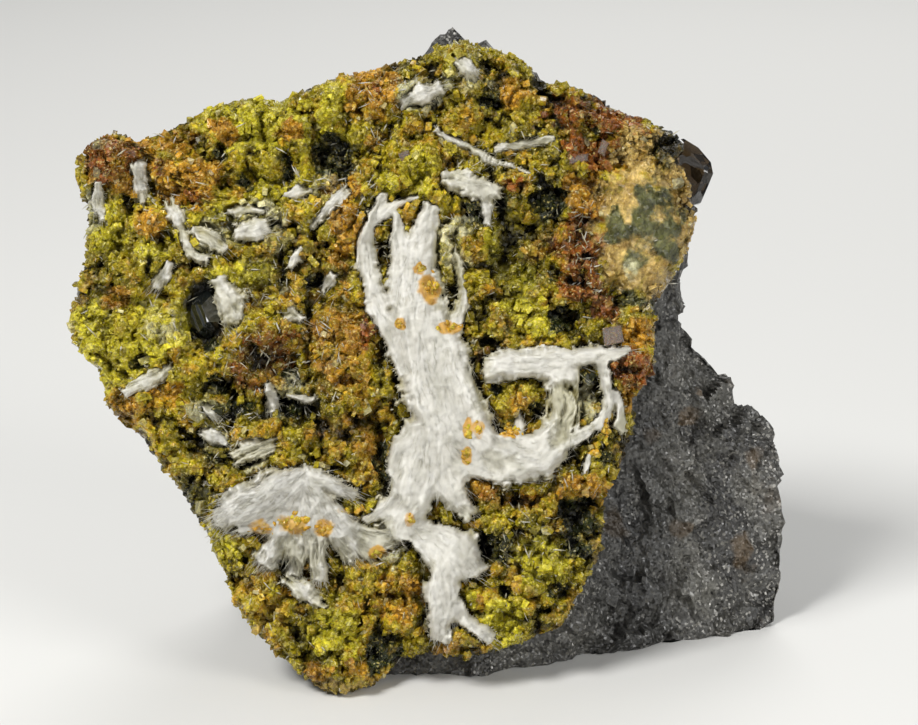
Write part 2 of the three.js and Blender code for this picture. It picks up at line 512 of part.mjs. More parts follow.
// The glossy black crystal: a stretched twelve-sided form.
function blackCrystal(grow) {
  const [u, v, w] = BLACK_CRYSTAL.place;
  const { halfSize, turn } = BLACK_CRYSTAL;
  const shape = new THREE.DodecahedronGeometry(1.1, 0)
    .rotateZ(THREE.MathUtils.degToRad(turn))
    .scale(...halfSize.map((half) => half + grow));
  return solidOf(shape.applyMatrix4(faceMatrix(u, v, crustBody(u, v) + w + halfSize[2])));
}

// A flat crystal with bevelled edges from an outline, its middle plane at w = 0.
function tabularGeometry(outline, thickness, bevel) {
  const shape = new THREE.Shape(outline.map(([x, y]) => new THREE.Vector2(x, y)));
  const depth = thickness - 2 * bevel;
  const settings = { depth, bevelEnabled: true, bevelSegments: 1, bevelSize: bevel,
    bevelThickness: bevel, bevelOffset: -bevel, steps: 1 };
  return new THREE.ExtrudeGeometry(shape, settings).translate(0, 0, -depth / 2);
}

function smokyCrystal(grow) {
  const { place, thickness, bevel } = SMOKY_CRYSTAL;
  const outline = SMOKY_OUTLINE.map(([x, y]) => {
    const reach = Math.hypot(x, y);
    return [x * (1 + grow / reach), y * (1 + grow / reach)];
  });
  const shape = tabularGeometry(outline, thickness + 2 * grow, bevel);
  return solidOf(shape.applyMatrix4(faceMatrix(...place)));
}

function palePlate({ place: [u, v], size: [length, width], turn, tilt }, grow) {
  const [a, b] = [length / 2 + grow, width / 2 + grow];
  const outline = [[-a, -0.75 * b], [0.8 * a, -b], [a, 0.7 * b], [-0.7 * a, b]];
  const shape = tabularGeometry(outline, PLATE_THICKNESS + 2 * grow, PLATE_BEVEL)
    .rotateX(THREE.MathUtils.degToRad(tilt))
    .rotateZ(THREE.MathUtils.degToRad(turn));
  return solidOf(shape.applyMatrix4(faceMatrix(u, v, crustBody(u, v) + LUMP_HEIGHT)));
}

// ---- The specimen --------------------------------------------------------------------------

const specimen = new THREE.Group();

function addPiece(name, solid, color, roughness, metalness) {
  const material = new THREE.MeshStandardMaterial({ color, roughness, metalness });
  const mesh = new THREE.Mesh(geometryOf(solid), material);
  mesh.name = name;
  specimen.add(mesh);
}

// Each piece set in the crust, as a function of how much its seat is wider than the piece.
const setPieces = {
  ettringite_great_spray: (grow) => spraySolid(GREAT_SPRAY, grow),
  ettringite_fan: (grow) => spraySolid(FAN, grow),
  black_crystal: blackCrystal,
  smoky_crystal: smokyCrystal,
};
for (const [name, strands] of Object.entries(SMALL_SPRAYS)) {
  setPieces[name] = (grow) => spraySolid(strands, grow);
}
for (const [name, plate] of Object.entries(PALE_PLATES)) {
  setPieces[name] = (grow) => palePlate(plate, grow);
}

const looks = {
  ettringite: ['#e2e0da', 0.45, 0],
  black: ['#0e1110', 0.12, 0],
  smoky: ['#6a5a44', 0.15, 0],
  pale: ['#c3a79c', 0.3, 0],
};

let crust = crustSolid();
let rock = rockSolid();
for (const [name, make] of Object.entries(setPieces)) {
  addPiece(name, make(0), ...looks[name.split('_')[0]]);
  const seat = make(GAP);
  crust = crust.subtract(seat);
  rock = rock.subtract(seat);
}
addPiece('barite_crust', crust, '#a89a28', 0.5, 0);
addPiece('matrix_rock', rock, '#4a4744', 0.55, 0.35);

export default specimen;
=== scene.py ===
"""Ettringite on barite, a hand specimen: granular crust, silky sprays, dark ore and single crystals.

Places on the crust are in face coordinates, in millimetres: u runs right, v runs up the leaning
face from its foot, and w stands out of it.  on_face turns them into metres in the part's frame.
"""
import math

import bpy
import numpy as np
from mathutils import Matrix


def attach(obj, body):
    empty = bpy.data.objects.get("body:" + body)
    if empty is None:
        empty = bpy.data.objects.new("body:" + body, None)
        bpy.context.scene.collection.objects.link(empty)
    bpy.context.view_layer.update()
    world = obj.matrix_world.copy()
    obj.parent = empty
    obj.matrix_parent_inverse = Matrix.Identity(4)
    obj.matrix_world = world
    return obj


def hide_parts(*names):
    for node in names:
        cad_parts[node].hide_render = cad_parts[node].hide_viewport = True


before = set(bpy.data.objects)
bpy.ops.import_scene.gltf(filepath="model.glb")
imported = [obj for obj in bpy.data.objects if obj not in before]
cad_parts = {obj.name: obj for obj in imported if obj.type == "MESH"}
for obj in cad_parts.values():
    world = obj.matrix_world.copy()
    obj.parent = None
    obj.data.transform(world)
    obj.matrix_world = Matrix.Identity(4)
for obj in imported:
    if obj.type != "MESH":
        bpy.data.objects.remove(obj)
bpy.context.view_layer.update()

# ---- Sizes and lists, in millimetres ---------------------------------------------------------

MM = 0.001
LEAN = math.radians(15.0)
FACE_FOOT_Y = -14.0
FOOT_MIDDLE = np.array([4.0, 0.0])
CRUST_CENTRE = (-3.2, 30.0)
CRUST_BACK = 5.0
RIM_RADIUS = 3.2
RIM_UNDERCUT = 1.1
LUMP_SIZE = 3.4
LUMP_HEIGHT = 1.9
PIT_SPREAD = 1.2
SWELL_SIZE = 9.0
SWELL_HEIGHT = 1.6
SPRAY_SEAT = 0.5                        # height of the felt over the crust's body: seat + rise x half width
SPRAY_RISE = 1.1
ROCK_ROUGHNESS = 1.8
ROCK_BREAK = 5.0
ROCK_HUMP = (0.35, 2.6)                 # a last ring's share of the rear ring's size, and its height
RING_CORNERS = 18
RING_PARTS = 18                         # columns of points from one corner to the next
RING_STEPS = (8, 46, 40, 26, 14)        # rows of points from each ring to the next
BOSS = (18.4, 40.5, 4.3, 6.4, 2.4)      # u, v, half width, half height, height
SOCKETS = [(-19.2, 33.3, 1.75, 2.5, -0.75)]     # u, v, half width, half height, floor w round a set crystal
GRAIN_FOOT = 0.35                       # the lowest grain's middle over the floor
SOCKET_GAP = 1.12                       # where grains start round a set crystal: 1 is the socket's edge
FROSTED_SHARE = 0.06                    # share of the grains that are pale and clear
KNOB_SIZES = (1.0, 1.7)
KNOB_PUSH = 2.6                         # how far noise pushes the knobs' places
FELT_EDGE = 0.28                        # strength of the felt along its torn edge
STRAND_REACH = 1.7                      # half widths at which a strand's strength ends
JOIN_POWER = 1.4
FIBRE_POINTS = 7                        # a triangle at the root, one half way along, and the tip
NO_FELT = -99.0                         # height given where there is no felt

# Outline of the crust (u, v); knobs (u, v, radius, height); pits (u, v, half width, half height,
# depth); corners of the ore in rings from the crust back to the rear (u, v, depth).
CRUST_OUTLINE = [
    (-30.7, 45.2), (-29.4, 48.2), (-27.2, 49.1), (-25.4, 48.2), (-22.1, 49.5), (-18.6, 51.3), (-14.6, 52.2),
    (-13.2, 51.7), (-8.8, 53.5), (-4.1, 54.6), (-0.3, 55.8), (2.4, 57), (5.4, 56.4), (8.4, 55.3),
    (10.2, 53.5), (12.8, 53), (16.7, 51), (21.2, 49.2), (22.6, 48.2), (21.9, 46.9), (23.1, 43.1),
    (23.5, 41.4), (22.1, 37.5), (19.8, 34.1), (19.8, 29.4), (17.9, 25.8), (17.8, 23.7), (16.6, 19.4),
    (15.4, 17.3), (14.9, 12.3), (13.1, 8.8), (11.7, 5.9), (9.1, 5), (3.3, 3.3), (0.3, 3.7), (-2, 3.3),
    (-5.3, 0.7), (-7.1, 0.2), (-9.4, 0.7), (-12.6, 3.3), (-15.5, 6.3), (-17.8, 11.3), (-19.3, 14.5),
    (-21.6, 18.3), (-24.9, 22.5), (-27.6, 24.9), (-28.5, 28.2), (-30.9, 31), (-31, 34), (-29.6, 38.6),
    (-29.6, 42.7),
]
KNOBS = [
    (-27.6, 46.4, 3.3, 2), (-24, 40.7, 1.9, 1.6), (-24, 37.8, 2.3, 1.2), (-28.8, 33.4, 2.9, 1.5),
    (-28.5, 30.6, 2.4, 1.2), (-26.4, 26.2, 1.9, 1.3), (-17.5, 49.6, 2.9, 1.5), (-11.3, 49.5, 2.4, 1.6),
    (-7.7, 51.8, 2.1, 1.5), (-3.6, 52, 2.9, 1.3), (2.9, 54.2, 2.6, 1.2), (7.4, 53.3, 2.3, 1.2),
    (12.9, 50.7, 2.9, 1.4), (17.4, 28.6, 2.3, 1.6), (-6.7, 28.2, 2.4, 1.2), (-14.6, 31, 2.4, 1.2),
    (-22.4, 31.4, 2.4, 1.1), (-17.5, 13, 1.9, 1), (-14.3, 8.1, 2.8, 1.5), (-8, 6.9, 2.6, 1.2),
    (-8.4, 2.3, 2.9, 1.6), (3.7, 4.7, 2.4, 1.5), (10.2, 13.7, 2.4, 1.2), (14.1, 18.4, 1.9, 1),
    (5.9, 39.5, 1.5, 2), (-7.1, 41.4, 2.8, 1.4), (0.8, 45.9, 2.1, 1), (-4.1, 44.7, 2.3, 1),
    (-14.1, 47.5, 2.1, 1), (-29.2, 36, 1.6, 0.9), (-21, 45, 2.4, 1), (-11, 41, 2.4, 0.9),
    (14.1, 37.5, 2.9, 1.2), (-6.7, 22.3, 2.4, 1.2), (6.8, 34.5, 2.3, 0.8),
]
PITS = [
    (-15.9, 44.7, 1.5, 1.3, 2.6), (-8.4, 46.6, 2.4, 1.5, 1.8), (-11.9, 45.6, 1, 1.6, 1.6),
    (-19.2, 33.3, 1.8, 2.3, 2.4), (-17.6, 26.5, 2.1, 1.4, 2.6), (-12.3, 25.1, 2.9, 1.2, 2.8),
    (-10.5, 21.8, 1, 1.4, 1.6), (-10, 36.4, 1.6, 1, 1.8), (10.2, 43, 2.6, 1.5, 3),
    (10.8, 37.8, 1.7, 1.6, 1.6), (12, 32.9, 1.6, 1.4, 2.8), (6.3, 26.8, 1, 1, 2),
    (8.4, 24.4, 1.2, 1.6, 1.6), (4.9, 48.8, 1.7, 0.8, 1.4), (14.1, 48.8, 1.6, 0.9, 1.4),
    (12.6, 16.1, 2.1, 1.6, 2.2), (5.1, 13.2, 1.1, 1.3, 2.2), (11.5, 9.2, 1.9, 0.8, 1.6),
    (-3.7, 4.2, 2.3, 2.1, 1.9), (-12, 11.6, 1, 1.1, 1.6), (-8.2, 9.7, 1, 0.9, 1.6),
    (-2.7, 43.2, 1, 0.5, 1.6), (10.8, 52.1, 1.1, 1, 1.4), (-3.9, 22.3, 0.8, 2.9, 1.8),
    (-24.7, 28.8, 0.8, 0.8, 1.4), (-11, 28.4, 3.3, 4, 1.4), (8.1, 38.8, 3.8, 5.2, 1.4),
    (-20.5, 22.3, 2.9, 2.3, 1), (-25.9, 42.4, 0.7, 1.2, 1.4), (5.5, 55.1, 0.7, 1.2, 1.2),
]
ROCK_RINGS = [
    [
        (-26.5, 46.5, 5.3), (-14, 50.3, 5.3), (-2.6, 53.4, 5.3), (2, 56, 5.3), (13.5, 50.6, 5.3),
        (20.8, 46.2, 5.3), (20.8, 40, 5.3), (18, 33, 5.3), (16.4, 26.5, 5.3), (15, 20, 5.3),
        (13.6, 14, 5.3), (11, 6.6, 5.3), (3.5, 3.6, 5.3), (-7, 0.4, 5.3), (-14.2, 7.2, 5.3),
        (-20.8, 17.6, 5.3), (-27, 26.6, 5.3), (-29, 34, 5.3),
    ],
    [
        (-26, 46.6, 8), (-13.5, 50.8, 8), (-2.2, 54.4, 8), (2.2, 59, 7.2), (14, 51.2, 8), (21.6, 46, 9),
        (22, 39.5, 9), (20, 33, 9), (18.9, 27, 10), (18.4, 20, 11), (17.8, 13, 12), (16.6, 3.6, 11),
        (4, 0.6, 4.6), (-6.8, -1, 6.4), (-13.6, 5, 9), (-20.4, 16.6, 9), (-26.4, 26, 9), (-28, 34, 9),
    ],
    [
        (-21, 44.6, 14), (-11, 48.6, 13.5), (-3, 52, 13), (1.4, 55.2, 12.5), (13, 49.6, 13.5),
        (21, 43.8, 15), (22.6, 38, 15), (23.6, 33, 15), (28.1, 26.7, 16), (31.9, 21.1, 17),
        (32.5, 12.6, 17), (32.2, 2.6, 18), (12, 1, 14), (-4, 0.5, 14), (-14, 3, 17), (-19.6, 14.6, 17),
        (-23.6, 25.6, 15.5), (-24.6, 34, 14.5),
    ],
    [
        (-16, 40.6, 19.5), (-8.6, 45, 18), (-3.4, 48.6, 17.4), (0.4, 51, 16.8), (10.6, 45.6, 18.6),
        (17.6, 39.6, 20.4), (20, 35, 22), (21.8, 30, 23), (25.4, 24, 24.6), (28.6, 18.6, 26),
        (29.4, 12, 27), (27.6, 3.6, 28), (10, 3, 29), (-6, 3, 29), (-15.6, 4, 27), (-17, 13.6, 26),
        (-19, 24.6, 23.6), (-19.6, 33, 21.4),
    ],
]

# Strands of the white sprays: (u, v, half width) along each.
STRANDS = {
    "ettringite_great_spray": [
        [
            (0.1, 42.1, 0.9), (-0.9, 38, 1.5), (-1.3, 33.5, 2.1), (-0.7, 28.5, 2.2), (0.6, 24, 2.2),
            (0.3, 20.6, 2.2),
        ],
        [
            (0.5, 39.7, 0.6), (0.6, 35.5, 0.9), (1.4, 31.5, 1.7), (2.4, 28, 2), (3.6, 24.8, 2.2),
            (4.8, 21.8, 2.1),
        ],
        [(-4, 43.3, 0.5), (-5, 41, 0.6), (-5.4, 38.6, 0.9), (-4.5, 35, 1), (-3.1, 31, 1), (-2.2, 28.5, 0.6)],
        [(-4.6, 41.2, 0.5), (-3, 42.4, 0.6), (-1, 43.4, 0.25)],
        [(-2.6, 41.6, 0.4), (-2.4, 38.8, 1), (-2.4, 35, 1.1)],
        [(2.4, 38.6, 0.35), (2.9, 35.4, 0.6), (2.7, 32.4, 0.7)],
        [(-1.4, 23.4, 1.1), (-1.8, 21.6, 1.3), (-2.8, 19.8, 0.8)],
        [(3, 22.2, 2), (6.5, 20.6, 2.1), (9.6, 20.5, 1.7), (11.6, 22.2, 1.3)],
        [(2.4, 20.6, 1.3), (4.2, 20.1, 1.2), (6, 19.8, 0.8)],
        [(6.3, 22.2, 0.6), (9.4, 22.2, 0.8), (11.6, 23, 0.8)],
        [(11.8, 27.4, 1.6), (12, 25, 1.9), (11.6, 22.8, 1.8)],
        [(15.2, 29, 0.5), (15.6, 27, 0.6), (15.4, 25, 0.6), (14.6, 23.4, 0.5)],
        [(14.6, 23.6, 0.5), (13.4, 22.6, 0.6), (12.4, 22, 0.6)],
        [(16.4, 26.6, 0.35), (16.6, 24.6, 0.5), (16.9, 23.2, 0.4)],
        [(13.9, 21, 0.3), (13.7, 20.3, 0.35), (13.4, 19.6, 0.3)],
        [(7.4, 22.6, 0.5), (8.2, 23.6, 0.6), (8.1, 24.8, 0.3)],
        [(5.9, 28.8, 1.4), (9.5, 28.9, 1.5), (13, 29.4, 1.2), (15.2, 29.8, 0.9), (17.4, 30.1, 0.3)],
        [(-0.8, 20.4, 2.1), (-1.4, 17.6, 2.5), (-2.6, 14.8, 1.6)],
        [(1.4, 20.2, 1.8), (2.4, 17.8, 1.6), (3.7, 16.2, 0.9)],
        [(-2.6, 16.8, 1), (-4, 16, 0.8), (-5.2, 15.5, 0.4)],
        [(-2.2, 14.4, 1.1), (0.8, 13.7, 1.6), (2.7, 12.7, 2.2), (4.2, 11.2, 1.3)],
        [(0.6, 13, 1.7), (1.2, 10.6, 1.9), (1.6, 8.4, 1.6)],
        [(1.5, 8.6, 1.5), (1.3, 7, 1.4), (1.2, 5.3, 0.9)],
        [(2.8, 8.2, 0.8), (3.6, 6.6, 0.7), (5.2, 5.3, 0.8)],
    ],
    "ettringite_fan": [
        [(-10.4, 19.4, 0.8), (-11.6, 18.6, 1.8), (-14.2, 17.4, 2.1), (-16.4, 16.2, 1.9), (-17.6, 15.4, 1)],
        [(-11, 17.6, 1), (-13.4, 15.6, 1.1), (-15.6, 14.6, 0.8)],
        [(-10.8, 17, 0.8), (-12.4, 14, 1.1), (-13.8, 11.8, 0.9)],
        [(-10.6, 16.6, 0.9), (-11, 13.6, 1.1), (-11.4, 11, 0.7)],
        [(-10.2, 17, 0.9), (-9.6, 13.6, 1.1), (-9.3, 10.6, 0.7)],
        [(-10, 17.6, 0.9), (-8, 14.6, 1.3), (-6.8, 12.4, 0.9)],
        [(-9.8, 17.8, 0.8), (-6.8, 14.6, 1.3), (-5, 12.8, 1.1)],
        [(-9.9, 19, 0.9), (-8, 18.5, 0.9), (-6.4, 17.8, 0.5)],
        [(-6, 14.4, 0.9), (-4, 13.8, 1.3), (-2.6, 14.4, 0.9)],
    ],
    "ettringite_tongue": [[(-12.2, 10.3, 0.7), (-10.7, 9.2, 0.7), (-8.7, 8, 0.3)]],
    "ettringite_tuft": [
        [(1.8, 44.6, 0.9), (3.6, 44.3, 1.2), (5.9, 43.9, 0.7)],
        [(4.9, 43.9, 0.6), (5.2, 42.3, 0.5), (5.1, 41.2, 0.4)],
    ],
    "ettringite_upper_lath": [[(1, 49, 0.4), (4.4, 47.3, 0.5), (8.7, 45.7, 0.2)]],
    "ettringite_right_lath": [[(6.1, 47.7, 0.4), (8.4, 48.1, 0.5), (10.8, 48.4, 0.3)]],
    "ettringite_streak": [
        [(-22.4, 42.9, 0.7), (-21.2, 40.8, 0.55), (-20.5, 38.8, 0.5), (-19.2, 38, 0.4)],
        [(-20, 40.6, 0.5), (-18.8, 39.9, 1.1), (-17.8, 38.9, 0.6)],
    ],
    "ettringite_post": [[(-25, 46, 0.8), (-24.8, 44.6, 0.65), (-24.7, 43, 0.4)]],
    "ettringite_blade": [[(-22.2, 37.4, 0.5), (-22.8, 36.4, 0.7), (-23.4, 35.4, 0.4)]],
    "ettringite_crystal_side": [[(-18.2, 35.9, 0.6), (-17.3, 34.5, 1.4), (-16.6, 32.8, 0.8)]],
    "ettringite_web": [[(-25.9, 26.4, 0.4), (-23.8, 27.6, 0.8), (-22.2, 28.6, 0.4)]],
    "ettringite_upper_fleck": [[(-19.2, 25.3, 0.4), (-18.7, 24.8, 0.6), (-18.3, 24.3, 0.4)]],
    "ettringite_lower_fleck": [[(-19.4, 23, 0.5), (-18.4, 22.5, 0.7), (-17.4, 22, 0.4)]],
    "ettringite_clump": [[(-16.4, 20.8, 0.7), (-15, 21.4, 1.2), (-13.7, 21.8, 0.7)]],
    "ettringite_low_fibres": [
        [(-13.7, 27, 0.4), (-13.5, 26, 0.6), (-13.4, 24.9, 0.4)],
        [(-12, 26.1, 0.3), (-10.8, 26, 0.4), (-9.8, 25.8, 0.2)],
    ],
    "ettringite_top_patch": [[(-2, 51.4, 0.4), (-0.4, 52.1, 1), (1, 52.7, 0.3)]],
    "ettringite_edge_patch": [[(-28.6, 44.2, 0.5), (-28.5, 42.6, 0.6), (-28.2, 41.4, 0.4)]],
    "ettringite_peak_patch": [[(2.4, 55.2, 0.4), (3.4, 54.4, 0.7), (4.2, 53.3, 0.3)]],
    "ettringite_left_patch": [
        [(-16.3, 40.1, 0.8), (-15, 40.4, 1.1), (-14, 40.8, 0.5)],
        [(-17.3, 42.2, 0.4), (-15.9, 42.4, 0.5), (-14.2, 42.2, 0.4)],
        [(-12.2, 43.4, 0.4), (-11.3, 43.7, 0.6), (-10.3, 43.8, 0.4)],
        [(-11, 38.8, 0.4), (-11.4, 38.2, 0.5), (-11.7, 37.3, 0.3)],
        [(-8.2, 36.6, 0.4), (-8.6, 36, 0.5), (-9, 35.5, 0.3)],
        [(-12.3, 33.2, 0.4), (-11.7, 33.2, 0.6), (-11.1, 32.9, 0.4)],
    ],
    "ettringite_slant_lath": [[(-7, 43.9, 0.5), (-8.4, 42.3, 0.5), (-9.7, 40.8, 0.4)]],
}

